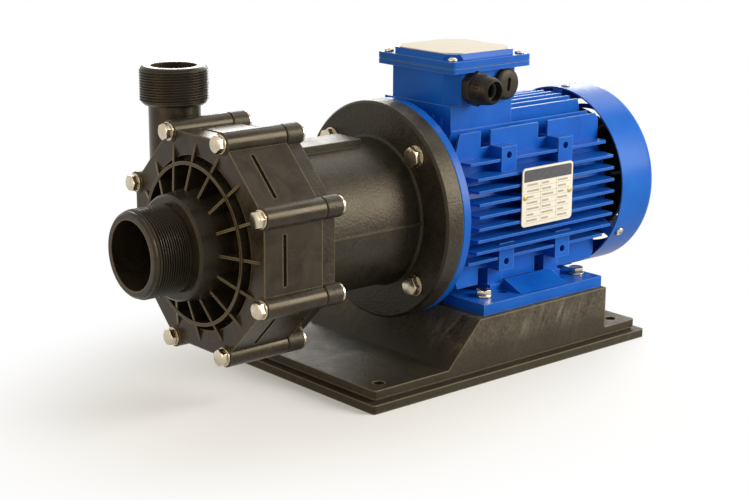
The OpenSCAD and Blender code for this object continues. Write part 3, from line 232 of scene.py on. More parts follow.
def worn_and_highlit_edges(tree, colour, tone, reach, share):
    """Paler tone along the outer edges: partly wear where handling has rubbed them, partly a painted
    highlight where edges would catch the light.
    """
    inward = put(tree, "AmbientOcclusion", {"Distance": reach}, samples=6, inside=True,
                 only_local=True).outputs["AO"]
    return overlay(tree, remap(tree, inward, 0.86, 0.5, 0.0, share), colour, (*tone, 1))


def painted_shade_below(tree, colour, place, tone, low, high):
    """Painted shade: a darker tone towards the floor, where less light reaches the plastic."""
    height = put(tree, "SeparateXYZ", {"Vector": place}).outputs["Z"]
    return overlay(tree, remap(tree, height, low, high, 0.2, 1.0), (*tone, 1), colour)


def streaked(tree, colour, place, share):
    """Paler slanting flow streaks, in patches, where the filled plastic ran in the mould."""
    slant = put(tree, "Mapping", {"Vector": place, "Rotation": (0, STREAK_LEAN, 0),
                                  "Scale": (1, 1, STREAK_STRETCH)}, vector_type="TEXTURE").outputs["Vector"]
    lines = noise(tree, slant, 110, 4, 0.62, 0.8)
    patches = noise(tree, place, 17, 2, 0.5)
    most = remap(tree, patches, 0.42, 0.6, 0.0, share)
    return overlay(tree, remap(tree, lines, 0.5, 0.72, 0.0, most), colour, (*STREAK_TONE, 1))


def moulded_plastic(name, dark, light, rough, patch, grain_size, grain_depth, gloss=0.3, edge=0.8 * MM,
                    grit=0.3, edge_wear_and_highlight=0.0, shade_below_height=0.0, streaks=0.0):
    """Filled black plastic: cloudy flow marks, a gritty tone, uneven sheen, a moulded grain, edges painted
    paler as rubbed wear and a painted highlight, and optional painted shade towards the floor.
    """
    mat, tree, shader, place, normal = start_finish(name, edge)
    cloud = noise(tree, place, patch, 6, 0.62, 0.6)
    fine = noise(tree, place, grain_size, 4, 0.6)
    sink = noise(tree, place, 38, 2, 0.5)
    tone = put(tree, "Mix", {"Factor": grit, "A": cloud, "B": fine}).outputs["Result"]
    normal = grain(tree, sink, normal, 0.12, 0.6 * MM)
    colour = blend_colours(tree, tone, dark, light, 0.36, 0.68)
    if streaks:
        colour = streaked(tree, colour, place, streaks)
    # Painted shade: darker towards the floor
    if shade_below_height:
        colour = painted_shade_below(tree, colour, place, dark, 0.6 * shade_below_height, shade_below_height)
    # Outer edges painted paler: partly rubbed wear, partly a painted highlight
    if edge_wear_and_highlight:
        colour = worn_and_highlit_edges(tree, colour, EDGE_WEAR_AND_HIGHLIGHT_TONE, 1.6 * MM, edge_wear_and_highlight)
    wire(tree, shader, base_color=colour, roughness=spread(tree, cloud, *rough), specular_ior_level=gloss,
         specular_tint=WARM_GLOSS, normal=grain(tree, fine, normal, 0.5, grain_depth))
    return mat


def enamel(name, deep, bright, peel_depth, cast_depth, gloss, edge=0.7 * MM):
    """Blue motor enamel: slight colour drift, orange peel, the cast surface under it, and edges painted paler
    blue, partly as chipping, partly as a painted highlight.
    """
    mat, tree, shader, place, normal = start_finish(name, edge)
    drift = noise(tree, place, 22, 4, 0.6)
    cast = noise(tree, place, 420, 4, 0.6)
    peel = noise(tree, place, 170, 2, 0.5)
    normal = grain(tree, cast, normal, 0.3, cast_depth)
    # Edges painted paler blue: partly chipping, partly a painted highlight
    colour = worn_and_highlit_edges(tree, blend_colours(tree, drift, deep, bright), EDGE_CHIP_AND_HIGHLIGHT_TONE, 1.0 * MM, 0.45)
    wire(tree, shader, base_color=colour, roughness=spread(tree, drift, 0.26, 0.36),
         specular_ior_level=gloss, normal=grain(tree, peel, normal, 0.3, peel_depth))
    return mat


def bare_metal(name, dull, bright, rough, scratch, stretch, edge=0.25 * MM):
    """Turned or drawn metal: fine drawn lines, stained a little in patches."""
    mat, tree, shader, place, normal = start_finish(name, edge)
    drawn = put(tree, "Mapping", {"Vector": place, "Scale": stretch}).outputs["Vector"]
    lines = noise(tree, drawn, scratch, 4, 0.65)
    stain = noise(tree, place, 140, 4, 0.6)
    wire(tree, shader, base_color=blend_colours(tree, stain, dull, bright), metallic=1.0,
         roughness=spread(tree, lines, *rough), normal=grain(tree, lines, normal, 0.15, 0.04 * MM))
    return mat


def plain_finish(name, dark, light, rough, size, gloss=0.4):
    """Rubber, ceramic, machined plastic and print: small mottling and a fine grain."""
    mat, tree, shader, place, normal = start_finish(name, 0.4 * MM)
    mottle = noise(tree, place, size, 4, 0.6)
    fine = noise(tree, place, size * 6, 3, 0.5)
    wire(tree, shader, base_color=blend_colours(tree, mottle, dark, light), specular_ior_level=gloss,
         roughness=spread(tree, mottle, *rough), normal=grain(tree, fine, normal, 0.25, 0.05 * MM))
    return mat


def banded_finish(name, dark, light, rough, pitch, metal, along):
    """Layered or wound metal: even bands across the part, as sheet steel cores and wire bundles show."""
    mat, tree, shader, place, normal = start_finish(name, 0.3 * MM)
    bands = put(tree, "TexWave", {"Vector": place, "Scale": 0.314 / pitch, "Distortion": 0.6, "Detail": 2.0},
                bands_direction=along).outputs["Fac"]
    wire(tree, shader, base_color=blend_colours(tree, bands, dark, light, 0.1, 0.9), metallic=metal,
         roughness=spread(tree, bands, *rough), normal=grain(tree, bands, normal, 0.4, 0.2 * MM))
    return mat


EVEN = (1, 1, 1)
ROUND_THE_SHAFT = (4, 0.4, 0.4)

# The edge amounts below paint the plastics' outer edges paler, partly as rubbed wear and partly as a painted
# highlight
FINISH = {
    # The base is given painted shade over its lowest 42 mm, darkest below about 25 mm
    "base_plastic": moulded_plastic(
        "gritty_base_plastic", (0.018, 0.0158, 0.0115), (0.115, 0.102, 0.076), (0.48, 0.66), 36, 400,
        0.7 * MM, gloss=0.27, edge=1.2 * MM, grit=0.5, edge_wear_and_highlight=0.85, shade_below_height=42 * MM, streaks=0.75),
    "lantern_plastic": moulded_plastic(
        "grained_lantern_plastic", (0.013, 0.0115, 0.0085), (0.042, 0.037, 0.028), (0.3, 0.42), 60, 430,
        0.9 * MM, gloss=0.27, edge=1.0 * MM, grit=0.5, edge_wear_and_highlight=0.25),
    "casing_plastic": moulded_plastic(
        "semi_gloss_casing_plastic", (0.014, 0.0115, 0.0075), (0.043, 0.036, 0.024), (0.22, 0.34), 48, 900,
        0.08 * MM, gloss=0.29, edge_wear_and_highlight=0.6),
    "thread_plastic": moulded_plastic(
        "cut_thread_plastic", (0.014, 0.012, 0.0085), (0.034, 0.029, 0.021), (0.3, 0.42), 48, 900, 0.08 * MM,
        edge=0.3 * MM),
    "gland_plastic": moulded_plastic(
        "gland_plastic", (0.012, 0.0113, 0.0098), (0.026, 0.024, 0.02), (0.34, 0.46), 160, 2200, 0.04 * MM,
        gloss=0.22, edge=0.5 * MM),
    "fan_plastic": moulded_plastic(
        "fan_plastic", (0.012, 0.012, 0.013), (0.03, 0.03, 0.033), (0.42, 0.56), 60, 1200, 0.06 * MM),
    "block_plastic": moulded_plastic(
        "terminal_block_plastic", (0.035, 0.024, 0.018), (0.075, 0.055, 0.042), (0.4, 0.55), 120, 1500,
        0.05 * MM),
    "wet_plastic": moulded_plastic(
        "wet_end_plastic", (0.03, 0.028, 0.025), (0.075, 0.07, 0.06), (0.36, 0.5), 70, 1300, 0.06 * MM),
    "motor_paint": enamel(
        "motor_blue_enamel", (0.004, 0.085, 0.45), (0.007, 0.12, 0.56), 0.10 * MM, 0.05 * MM, 0.14),
    "cowl_paint": enamel(
        "cowl_blue_enamel", (0.005, 0.095, 0.47), (0.009, 0.13, 0.57), 0.07 * MM, 0.02 * MM, 0.13),
    "stainless": bare_metal(
        "stainless_steel", (0.48, 0.41, 0.3), (0.62, 0.545, 0.41), (0.2, 0.3), 900, EVEN),
    "shaft_steel": bare_metal(
        "ground_shaft_steel", (0.42, 0.41, 0.39), (0.56, 0.55, 0.52), (0.2, 0.32), 700, ROUND_THE_SHAFT),
    "bearing_steel": bare_metal(
        "bearing_steel", (0.46, 0.45, 0.43), (0.6, 0.59, 0.56), (0.15, 0.26), 700, ROUND_THE_SHAFT),
    "magnet": bare_metal(
        "nickel_plated_magnet", (0.3, 0.3, 0.3), (0.42, 0.41, 0.4), (0.25, 0.4), 500, EVEN),
    "cast_aluminium": bare_metal(
        "cast_aluminium", (0.5, 0.5, 0.49), (0.62, 0.62, 0.6), (0.38, 0.55), 600, EVEN),
    "brass": bare_metal(
        "turned_brass", (0.5, 0.35, 0.13), (0.66, 0.49, 0.2), (0.22, 0.36), 800, EVEN),
    "core_steel": banded_finish(
        "stacked_core_steel", (0.2, 0.195, 0.19), (0.36, 0.35, 0.34), (0.35, 0.5), 0.5 * MM, 1.0, "X"),
    "winding_copper": banded_finish(
        "varnished_winding", (0.26, 0.09, 0.03), (0.5, 0.22, 0.09), (0.25, 0.4), 1.1 * MM, 0.6, "DIAGONAL"),
    "wear_plastic": plain_finish(
        "machined_wear_plastic", (0.2, 0.185, 0.16), (0.29, 0.27, 0.235), (0.35, 0.5), 300),
    "carbon": plain_finish(
        "machined_carbon", (0.018, 0.018, 0.018), (0.045, 0.045, 0.045), (0.38, 0.55), 500),
    "seal_rubber": plain_finish(
        "seal_rubber", (0.06, 0.059, 0.055), (0.11, 0.108, 0.1), (0.45, 0.62), 400),
    "alumina": plain_finish(
        "ground_alumina", (0.78, 0.75, 0.67), (0.88, 0.85, 0.78), (0.25, 0.4), 350),
    "pale_plate": plain_finish(
        "pale_plate", (0.72, 0.7, 0.63), (0.78, 0.76, 0.69), (0.68, 0.8), 120, gloss=0.15),
    "header_ink": plain_finish(
        "header_ink", (0.045, 0.044, 0.055), (0.075, 0.073, 0.085), (0.35, 0.5), 300),
    "rule_ink": plain_finish(
        "rule_ink", (0.32, 0.3, 0.26), (0.45, 0.42, 0.36), (0.4, 0.55), 300),
}

WEARS = {
    "base_plastic": ["baseplate"],
    "lantern_plastic": ["lantern"],
    "casing_plastic": ["pump_casing"],
    "gland_plastic": ["gland_body", "gland_nut", "blanking_plug"],
    "fan_plastic": ["cooling_fan"],
    "block_plastic": ["terminal_block"],
    "wear_plastic": ["wear_ring"],
    "wet_plastic": ["impeller", "magnet_capsule", "capsule_cap", "rear_casing"],
    "carbon": ["impeller_bush"],
    "seal_rubber": ["shaft_seal", "lid_gasket", "gland_seal", "casing_o_ring"],
    "motor_paint": ["near_foot", "far_foot", "motor_frame", "motor_flange", "rear_shield", "terminal_box",
                    "terminal_lid"],
    "cowl_paint": ["fan_cowl"],
    "stainless": ["foot_bolts", "foot_washers", "foot_screws", "tie_rods", "cowl_screws", "lid_screws",
                  "flange_bolts", "flange_washers", "flange_nuts", "casing_bolts", "casing_washers",
                  "casing_nuts", "hub_bolt"],
    "shaft_steel": ["motor_shaft", "shaft_key", "drive_hub"],
    "bearing_steel": ["front_bearing", "front_race", "rear_bearing", "rear_race"],
    "core_steel": ["stator_core", "rotor_core", "inner_yoke"],
    "magnet": ["inner_magnets", "drive_magnets"],
    "cast_aluminium": ["rotor_rings"],
    "winding_copper": ["windings"],
    "brass": ["foot_inserts", "terminal_studs", "plate_rivets"],
    "alumina": ["front_thrust_ring", "pump_shaft"],
    "pale_plate": ["lid_plate", "name_plate"],
}


def wear(obj, slot):
    """Give an object one finish."""
    obj.data.materials.clear()
    obj.data.materials.append(FINISH[slot])


for slot_name, node_names in WEARS.items():
    for node_name in node_names:
        wear(nodes[node_name], slot_name)

# Modelling by hand


def hold(piece):
    """Select one piece alone and make it the active one."""
    bpy.ops.object.select_all(action="DESELECT")
    piece.select_set(True)
    bpy.context.view_layer.objects.active = piece


def new_bar(name, sides, radius, low, high):
    """Round or many-sided bar along Z between two heights."""
    bpy.ops.object.select_all(action="DESELECT")
    bpy.ops.mesh.primitive_cylinder_add(vertices=sides, radius=radius, depth=high - low, end_fill_type="NGON",
                                        location=(0, 0, (low + high) / 2))
    bpy.ops.object.transform_apply(location=True, rotation=True, scale=True)
    bar = bpy.context.object
    bar.name = name
    return bar


def new_block(name, low, high):
    """Box between two corners."""
    low, high = Vector(low), Vector(high)
    bpy.ops.object.select_all(action="DESELECT")
    bpy.ops.mesh.primitive_cube_add(size=1, location=(low + high) / 2, scale=high - low)
    bpy.ops.object.transform_apply(location=True, rotation=True, scale=True)
    block = bpy.context.object
    block.name = name
    return block


def draw_out(shift, scale=1.0):
    """Extrude the selected faces, then scale the new end across the shift."""
    bpy.ops.mesh.extrude_region_move(TRANSFORM_OT_translate={"value": shift})
    if scale != 1.0:
        bpy.ops.transform.resize(value=(scale, scale, 1))


def turned(name, steps, sides):
    """Turned body along Z: a short bar drawn out through pairs of height and radius, in millimetres."""
    (low, radius), (height, first) = steps[:2]
    body = new_bar(name, sides, radius * MM, low * MM, height * MM)
    edit_faces(body, faces_up)
    if first != radius:
        bpy.ops.transform.resize(value=(first / radius, first / radius, 1))
    for level, reach in steps[2:]:
        draw_out((0, 0, (level - height) * MM), reach / first)
        height, first = level, reach
    leave_edit()
    return body


def faces_up(centre, normal):
    return normal.z > 0.9


def faces_down(centre, normal):
    return normal.z < -0.9


def edit_faces(piece, test):
    """Go into edit mode with the faces that the test picks by centre and normal."""
    hold(piece)
    bpy.ops.object.mode_set(mode="EDIT")
    bpy.ops.mesh.select_mode(type="FACE")
    bpy.ops.mesh.select_all(action="DESELECT")
    bpy.ops.object.mode_set(mode="OBJECT")
    for face in piece.data.polygons:
        face.select = bool(test(face.center, face.normal))
    bpy.ops.object.mode_set(mode="EDIT")


def edit_edges(piece, test):
    """Go into edit mode with the edges that the test picks by their two ends."""
    hold(piece)
    bpy.ops.object.mode_set(mode="EDIT")
    bpy.ops.mesh.select_mode(type="EDGE")
    bpy.ops.mesh.select_all(action="DESELECT")
    bpy.ops.object.mode_set(mode="OBJECT")
    points = piece.data.vertices
    for edge in piece.data.edges:
        edge.select = bool(test(points[edge.vertices[0]].co, points[edge.vertices[1]].co))
    bpy.ops.object.mode_set(mode="EDIT")


def leave_edit():
    bpy.ops.object.mode_set(mode="OBJECT")


def apply(piece, kind, **settings):
    """Add a modifier, set it and apply it."""
    hold(piece)
    modifier = piece.modifiers.new(kind.lower(), kind)
    for key, value in settings.items():
        setattr(modifier, key, value)
    bpy.ops.object.modifier_apply(modifier=modifier.name)


def break_edges(piece, width, segments, sharper_than):
    """Bevel the edges that are sharper than an angle in degrees."""
    apply(piece, "BEVEL", width=width, segments=segments, limit_method="ANGLE",
          angle_limit=math.radians(sharper_than))


def cut(piece, tool, operation):
    """Join, cut or keep what is shared with a tool body, then drop the tool."""
    apply(piece, "BOOLEAN", object=tool, operation=operation, solver="EXACT")
    bpy.data.objects.remove(tool)


def bore(piece, sides, radius, low, high):
    """Take a round hole along Z out of a piece."""
    cut(piece, new_bar("drill", sides, radius, low, high), "DIFFERENCE")


def join(pieces, name):
    """Make several pieces one mesh."""
    hold(pieces[0])
    for piece in pieces[1:]:
        piece.select_set(True)
    bpy.ops.object.join()
    pieces[0].name = name
    return pieces[0]


def tidy(piece, angle=32):
    """Merge doubles, face outwards and shade smooth up to an angle."""
    hold(piece)
    bpy.ops.object.mode_set(mode="EDIT")
    bpy.ops.mesh.select_all(action="SELECT")
    bpy.ops.mesh.remove_doubles(threshold=2e-6)
    bpy.ops.mesh.normals_make_consistent(inside=False)
    leave_edit()
    bpy.ops.object.shade_smooth_by_angle(angle=math.radians(angle))


def copies(master, name, places):
    """Copy a finished master to each place, each copy with its own mesh, and join them."""
    made = []
    for place in places:
        hold(master)
        bpy.ops.object.duplicate(linked=False)
        copy = bpy.context.object
        copy.matrix_world = place
        bpy.ops.object.transform_apply(location=True, rotation=True, scale=True)
        made.append(copy)
    bpy.data.objects.remove(master)
    return join(made, name)


def fit(piece, slot, *stands_for, finish=None):
    """Give a finished piece its finish and its body, and hide the solids it stands for."""
    wear(piece, finish or slot)
    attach(piece, "pump")
    if stands_for:
        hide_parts(*stands_for)


def at(x, y, z):
    return Matrix.Translation((x, y, z))


def turn(degrees, axis):
    return Matrix.Rotation(math.radians(degrees), 4, axis)


# Hexagon fasteners

FACE_SHARE = 0.485
FACE_SLOPE = math.tan(math.radians(30))
PAST_FACE = 0.5 * MM

# Bolt sizes: shank diameter, width across flats, head height. Washer sizes: outside, inside
BOLT_8, WASHER_8 = (8 * MM, 13 * MM, 5.28 * MM), (16 * MM, 8.6 * MM)
BOLT_10, WASHER_10 = (10 * MM, 16.25 * MM, 6.6 * MM), (20 * MM, 10.6 * MM)
WASHER_THICK = 1.6 * MM

# One screw ridge in shares of its pitch, and the root in shares of the crest
RIDGE_FLANK, RIDGE_ROOT, ROOT_SHARE, TIP_SHARE = 0.35, 0.3, 0.88, 0.82


def hexagon(name, flats, height, both_ends):
    """Bolt head or nut: six-sided bar with its corners turned off to a shallow cone."""
    corner = flats / 2 / math.cos(math.pi / 6)
    reach = 1.03 * corner
    drop = (reach - FACE_SHARE * flats) * FACE_SLOPE
    bar = new_bar(name, 6, corner, 0, height)
    tool = new_bar("corner_turning", 64, reach, drop if both_ends else -1 * MM, height - drop)
    shrink = (FACE_SHARE * flats - PAST_FACE / FACE_SLOPE) / reach
    edit_faces(tool, faces_up)
    draw_out((0, 0, drop + PAST_FACE), shrink)
    leave_edit()
    if both_ends:
        edit_faces(tool, faces_down)
        draw_out((0, 0, -drop - PAST_FACE), shrink)
        leave_edit()
    cut(bar, tool, "INTERSECT")
    break_edges(bar, 0.12 * MM, 2, 40)
    return bar


def threaded_end(name, diameter, low, high, thread_from, pitch):
    """Shank along -Z: plain near the head, then ridges, with a chamfered tip at the low end."""
    shank = new_bar(name, 40, diameter / 2, thread_from, high)
    edit_faces(shank, faces_down)
    ridges = max(1, int((thread_from - low - pitch) / pitch))
    for _ in range(ridges):
        draw_out((0, 0, -RIDGE_FLANK * pitch), ROOT_SHARE)
        draw_out((0, 0, -RIDGE_ROOT * pitch))
        draw_out((0, 0, -RIDGE_FLANK * pitch), 1 / ROOT_SHARE)
    rest = thread_from - ridges * pitch - low
    draw_out((0, 0, -rest / 2))
    draw_out((0, 0, -rest / 2), TIP_SHARE)
    leave_edit()
    return shank


def hexagon_bolt(name, diameter, flats, head, length):
    """Hexagon bolt with its bearing face at Z 0, head above and shank below."""
    cap = hexagon("bolt_cap", flats, head, False)
    shank = threaded_end("bolt_shank", diameter, -length, 0.2 * MM, -length + 1.1 * diameter,
                         0.156 * diameter)
    bolt = join([cap, shank], name)
    tidy(bolt)
    return bolt


def flat_washer(name, outer, inner):
    """Flat ring from Z 0 up with broken edges, from a bar with its middle taken out."""
    ring = new_bar(name, 56, outer / 2, 0, WASHER_THICK)
    bore(ring, 56, inner / 2, -1 * MM, WASHER_THICK + 1 * MM)
    break_edges(ring, 0.22 * MM, 2, 50)
    tidy(ring)
    return ring


def hexagon_nut(name, flats, hole, height):
    """Hexagon nut from Z 0 up, with both faces chamfered."""
    nut = hexagon(name, flats, height, True)
    bore(nut, 40, hole / 2, -1 * MM, height + 1 * MM)
    tidy(nut)
    return nut


def about_shaft(radius, start, x, spins, forward=True):
    """Places round the shaft line, one for each spin, with a piece's Z to the front or to the back."""
    places = []
    for i, spin in enumerate(spins):
        angle = math.radians(start + i * 360 / len(spins))
        spot = at(x, radius * math.cos(angle), SHAFT_Z + radius * math.sin(angle))
        places.append(spot @ turn(-90 if forward else 90, "Y") @ turn(spin, "Z"))
    return places


# Casing, flange and foot fasteners


def fit_casing_fasteners():
    """Eight through bolts that clamp the casing to the lantern, washers in front and sleeve nuts behind."""
    pitch_r, first = 97.5 * MM, 22.5
    seat, head_at, back, tip = -282 * MM, -283.6 * MM, -203.5 * MM, -201.8 * MM
    spins = (4, 23, 41, 12, 52, 33, 8, 47)
    bolt = hexagon_bolt("casing_bolt", *BOLT_8, tip - head_at)
    bolts = copies(bolt, "casing_bolt_set", about_shaft(pitch_r, first, head_at, spins))
    fit(bolts, "stainless", "casing_bolts")
    ring = flat_washer("casing_washer", *WASHER_8)
    rings = copies(ring, "casing_washer_set", about_shaft(pitch_r, first, seat, spins))
    fit(rings, "stainless", "casing_washers")
    nut = turned("sleeve_nut", ((-12, 5.5), (0, 5.5), (0, 8.1), (0.4, 8.5), (1.8, 8.5), (2.2, 8.1)), 48)
    bore(nut, 40, 4 * MM, -14 * MM, 4 * MM)
    tidy(nut)
    nuts = copies(nut, "sleeve_nut_set", about_shaft(pitch_r, first, back, spins, False))
    fit(nuts, "stainless", "casing_nuts")


def fit_flange_fasteners():
    """Four bolts through the lantern's rear flange, washers in front and nuts behind the motor flange."""
    pitch_r, first = 82.5 * MM, 45
    seat, head_at, nut_at, tip = -87.2 * MM, -88.8 * MM, -59 * MM, -49 * MM
    spins = (17, 38, 5, 26)
    shank, flats, _ = BOLT_10
    bolt = hexagon_bolt("flange_bolt", *BOLT_10, tip - head_at)
    bolts = copies(bolt, "flange_bolt_set", about_shaft(pitch_r, first, head_at, spins))
    fit(bolts, "stainless", "flange_bolts")
    ring = flat_washer("flange_washer", *WASHER_10)
    rings = copies(ring, "flange_washer_set", about_shaft(pitch_r, first, seat, spins))
    fit(rings, "stainless", "flange_washers")
    nut = hexagon_nut("flange_nut", flats, shank, 8 * MM)
    nuts = copies(nut, "flange_nut_set", about_shaft(pitch_r, first, nut_at, spins, False))
    fit(nuts, "stainless", "flange_nuts")


def fit_foot_fasteners():
    """Four bolts and washers that hold the motor feet to the pedestal."""
    seat, middle, half_x, half_y, length = 68 * MM, 50 * MM, 62.5 * MM, 70 * MM, 29.6 * MM
    spots = [(middle + sx * half_x, sy * half_y) for sx in (-1, 1) for sy in (-1, 1)]
    bolt = hexagon_bolt("foot_bolt", *BOLT_8, length)
    heads = [at(x, y, seat + WASHER_THICK) @ Matrix.Rotation(0.4 + 0.9 * i, 4, "Z")
             for i, (x, y) in enumerate(spots)]
    fit(copies(bolt, "foot_bolt_set", heads), "stainless", "foot_bolts")
    ring = flat_washer("foot_washer", *WASHER_8)
    rings = copies(ring, "foot_washer_set", [at(x, y, seat) for x, y in spots])
    fit(rings, "stainless", "foot_washers")


# Small screws and rivets


def domed_stud(name, radius, height, shank, length):
    """Round-headed screw or rivet, sizes in millimetres: head from Z 0 up, shank below."""
    steps = [(-length, 0.8 * shank / 2), (-length + 0.4, 0.8 * shank / 2), (-length + 0.8, shank / 2),
             (0, shank / 2), (0, 0.96 * radius), (0.12 * height, radius), (0.3 * height, radius)]
    for slope in (18, 36, 54, 72):
        rise, run = math.sin(math.radians(slope)), math.cos(math.radians(slope))
        steps.append(((0.3 + 0.7 * rise) * height, radius * run))
    return turned(name, steps, 40)


def cross_recess(head, width, blade, low, high):
    """Cross driver recess, sizes in millimetres, drawn in towards its bottom."""
    for long, short in ((width, blade), (blade, width)):
        tool = new_block("driver", (-long / 2 * MM, -short / 2 * MM, low * MM),
                         (long / 2 * MM, short / 2 * MM, high * MM))
        edit_faces(tool, faces_down)
        bpy.ops.transform.resize(value=(0.6, 0.6, 1))
        leave_edit()
        cut(head, tool, "DIFFERENCE")


def fit_screws():
    """Cross-head screws of the box lid and the fan cowl, and the domed rivets of the name plate."""
    screw = domed_stud("lid_screw", 4.5, 3, 5, 10.4)
    cross_recess(screw, 4.6, 1.2, 1.2, 5)
    tidy(screw)
    lid_top, box_mid, half_x, half_y = SHAFT_Z + 136 * MM, 11.5 * MM, 42.5 * MM, 43 * MM
    spots = [at(box_mid + sx * half_x, sy * half_y, lid_top) @ Matrix.Rotation(0.5 * sx + 0.3 * sy, 4, "Z")
             for sx in (-1, 1) for sy in (-1, 1)]
    fit(copies(screw, "lid_screw_set", spots), "stainless", "lid_screws")

    screw = domed_stud("cowl_screw", 4.4, 2.5, 4, 12)
    cross_recess(screw, 4.4, 1.1, 1.0, 4)
    tidy(screw)
    rim_x, rim_r = 165 * MM, 89.3 * MM
    spots = [at(rim_x, 0, SHAFT_Z) @ turn(a, "X") @ at(0, 0, rim_r) @ Matrix.Rotation(0.01 * a, 4, "Z")
             for a in (0, 120, 240)]
    fit(copies(screw, "cowl_screw_set", spots), "stainless", "cowl_screws")

    rivet = domed_stud("plate_rivet", 2.7, 1, 3, 8)
    tidy(rivet)
    plate_mid, half_x, rivet_z = 51 * MM, 29.5 * MM, SHAFT_Z + 10.5 * MM
    spots = [at(plate_mid + sx * half_x, PLATE_FACE, rivet_z) @ turn(90, "X") for sx in (-1, 1)]
    fit(copies(rivet, "plate_rivet_set", spots), "brass", "plate_rivets")


# Pipe threads

PIPE_PITCH = 2.309 * MM
TOOTH_FOOT, TOOTH_CREST = 0.96, 0.3
STEPS_IN_TURN = 72


def pipe_thread(name, core, crest, low, high, lead, lead_in):
    """Helical pipe thread along Z, its first turns at the top cut back by the lead cone."""
    sink = 0.2 * MM
    deep = crest - core + sink
    bpy.ops.object.select_all(action="DESELECT")
    bpy.ops.mesh.primitive_plane_add(size=1, rotation=(math.radians(90), 0, 0))
    tooth = bpy.context.object
    tooth.name = name
    tooth.scale = (deep, TOOTH_FOOT * PIPE_PITCH, 1)
    tooth.location = (crest - deep / 2, 0, low)
    bpy.ops.object.transform_apply(location=True, rotation=True, scale=True)
    edit_edges(tooth, lambda a, b: min(a.x, b.x) > crest - 0.1 * MM)
    bpy.ops.transform.resize(value=(1, 1, TOOTH_CREST))
    leave_edit()
    apply(tooth, "SCREW", axis="Z", screw_offset=PIPE_PITCH, steps=STEPS_IN_TURN, render_steps=STEPS_IN_TURN,
          angle=math.radians(360), iterations=int(round((high - low) / PIPE_PITCH)),
          use_normal_calculate=True)
    hold(tooth)
    bpy.ops.object.mode_set(mode="EDIT")
    bpy.ops.mesh.select_mode(type="EDGE")
    bpy.ops.mesh.select_all(action="SELECT")
    bpy.ops.mesh.remove_doubles(threshold=1e-6)
    bpy.ops.mesh.select_all(action="SELECT")
    bpy.ops.mesh.fill_holes(sides=6)
    bpy.ops.mesh.select_all(action="SELECT")
    bpy.ops.mesh.normals_make_consistent(inside=False)
    leave_edit()
    envelope = new_bar("lead_cone", 96, crest + 0.05 * MM, low, high - lead)
    edit_faces(envelope, faces_up)
    draw_out((0, 0, lead), (crest - lead_in) / crest)
    leave_edit()
    cut(tooth, envelope, "INTERSECT")
    tidy(tooth, 25)
    return tooth


def fit_threads():
    """Threads of the suction and the discharge nozzle, over their plain solids."""
    thread = pipe_thread("suction_thread", 36.1 * MM, 37.6 * MM, 3 * MM, 38 * MM, 6 * MM, 3.2 * MM)
    thread = copies(thread, "suction_pipe_thread", [at(-309 * MM, 0, SHAFT_Z) @ turn(-90, "Y")])
    fit(thread, "casing_plastic", finish="thread_plastic")
    thread = pipe_thread("discharge_thread", 28.3 * MM, 29.8 * MM, 1 * MM, 31 * MM, 4 * MM, 2.4 * MM)
    thread = copies(thread, "discharge_pipe_thread", [at(-255 * MM, 68 * MM, SHAFT_Z + 109 * MM)])
    fit(thread, "casing_plastic", finish="thread_plastic")


# Cable gland and blanking plug

BOX_WALL, ENTRY_Z = -46 * MM, SHAFT_Z + 110 * MM
GLAND_X, PLUG_X = -9 * MM, 32 * MM
GLAND_SIDES, PLUG_SIDES = 48, 64


def press_flutes(piece, low, high, sides, thickness, depth):
    """Press every second face of a round wall inwards, between two heights."""
    step = 360 / sides
    edit_faces(piece, lambda c, n: low < c.z < high and abs(n.z) < 0.3
               and int(math.degrees(math.atan2(c.y, c.x)) % 360 / step) % 2 == 0)
    bpy.ops.mesh.inset(thickness=thickness, depth=-depth, use_individual=True)
    leave_edit()


def fit_gland():
    """Cable gland on the box wall: hexagon body, fluted nut with a rounded mouth, and the seal inside."""
    place = [at(GLAND_X, BOX_WALL, ENTRY_Z) @ turn(90, "X")]

    collar = hexagon("gland_collar", 28 * MM, 10 * MM, True)
    tail = turned("gland_tail", ((-8.5, 9.4), (-8, 9.4), (-7.5, 10), (1, 10)), GLAND_SIDES)
    neck = turned("gland_neck", ((9, 11), (17.4, 11), (18, 10.4)), GLAND_SIDES)
    cut(collar, tail, "UNION")
    cut(collar, neck, "UNION")
    bore(collar, GLAND_SIDES, 7.5 * MM, -12 * MM, 24 * MM)
    tidy(collar)
    fit(copies(collar, "gland_collar", place), "gland_plastic", "gland_body")

    nut = turned("gland_nut", ((10.5, 14.2), (12.2, 14.2), (12.8, 13.6), (20.4, 13.3), (21, 12.9), (24, 12.7),
                               (25.8, 12.2), (27.2, 11.5), (28.3, 10.7), (29.1, 9.8), (29.5, 9.2), (29, 8.8),
                               (23, 8.8)), GLAND_SIDES)
    press_flutes(nut, 13 * MM, 20 * MM, GLAND_SIDES, 0.25 * MM, 0.45 * MM)
    bore(nut, GLAND_SIDES, 11 * MM, 8 * MM, 22 * MM)
    bore(nut, GLAND_SIDES, 8.8 * MM, 20 * MM, 26 * MM)
    tidy(nut, 40)
    fit(copies(nut, "gland_nut_fluted", place), "gland_plastic", "gland_nut")

    seal = turned("gland_seal_ring", ((18, 10.2), (21.4, 10.2), (21.9, 9.8), (22, 9)), GLAND_SIDES)
    bore(seal, GLAND_SIDES, 7 * MM, 16 * MM, 24 * MM)
    break_edges(seal, 0.5 * MM, 3, 50)
    tidy(seal)
    fit(copies(seal, "gland_seal_ring", place), "seal_rubber", "gland_seal")


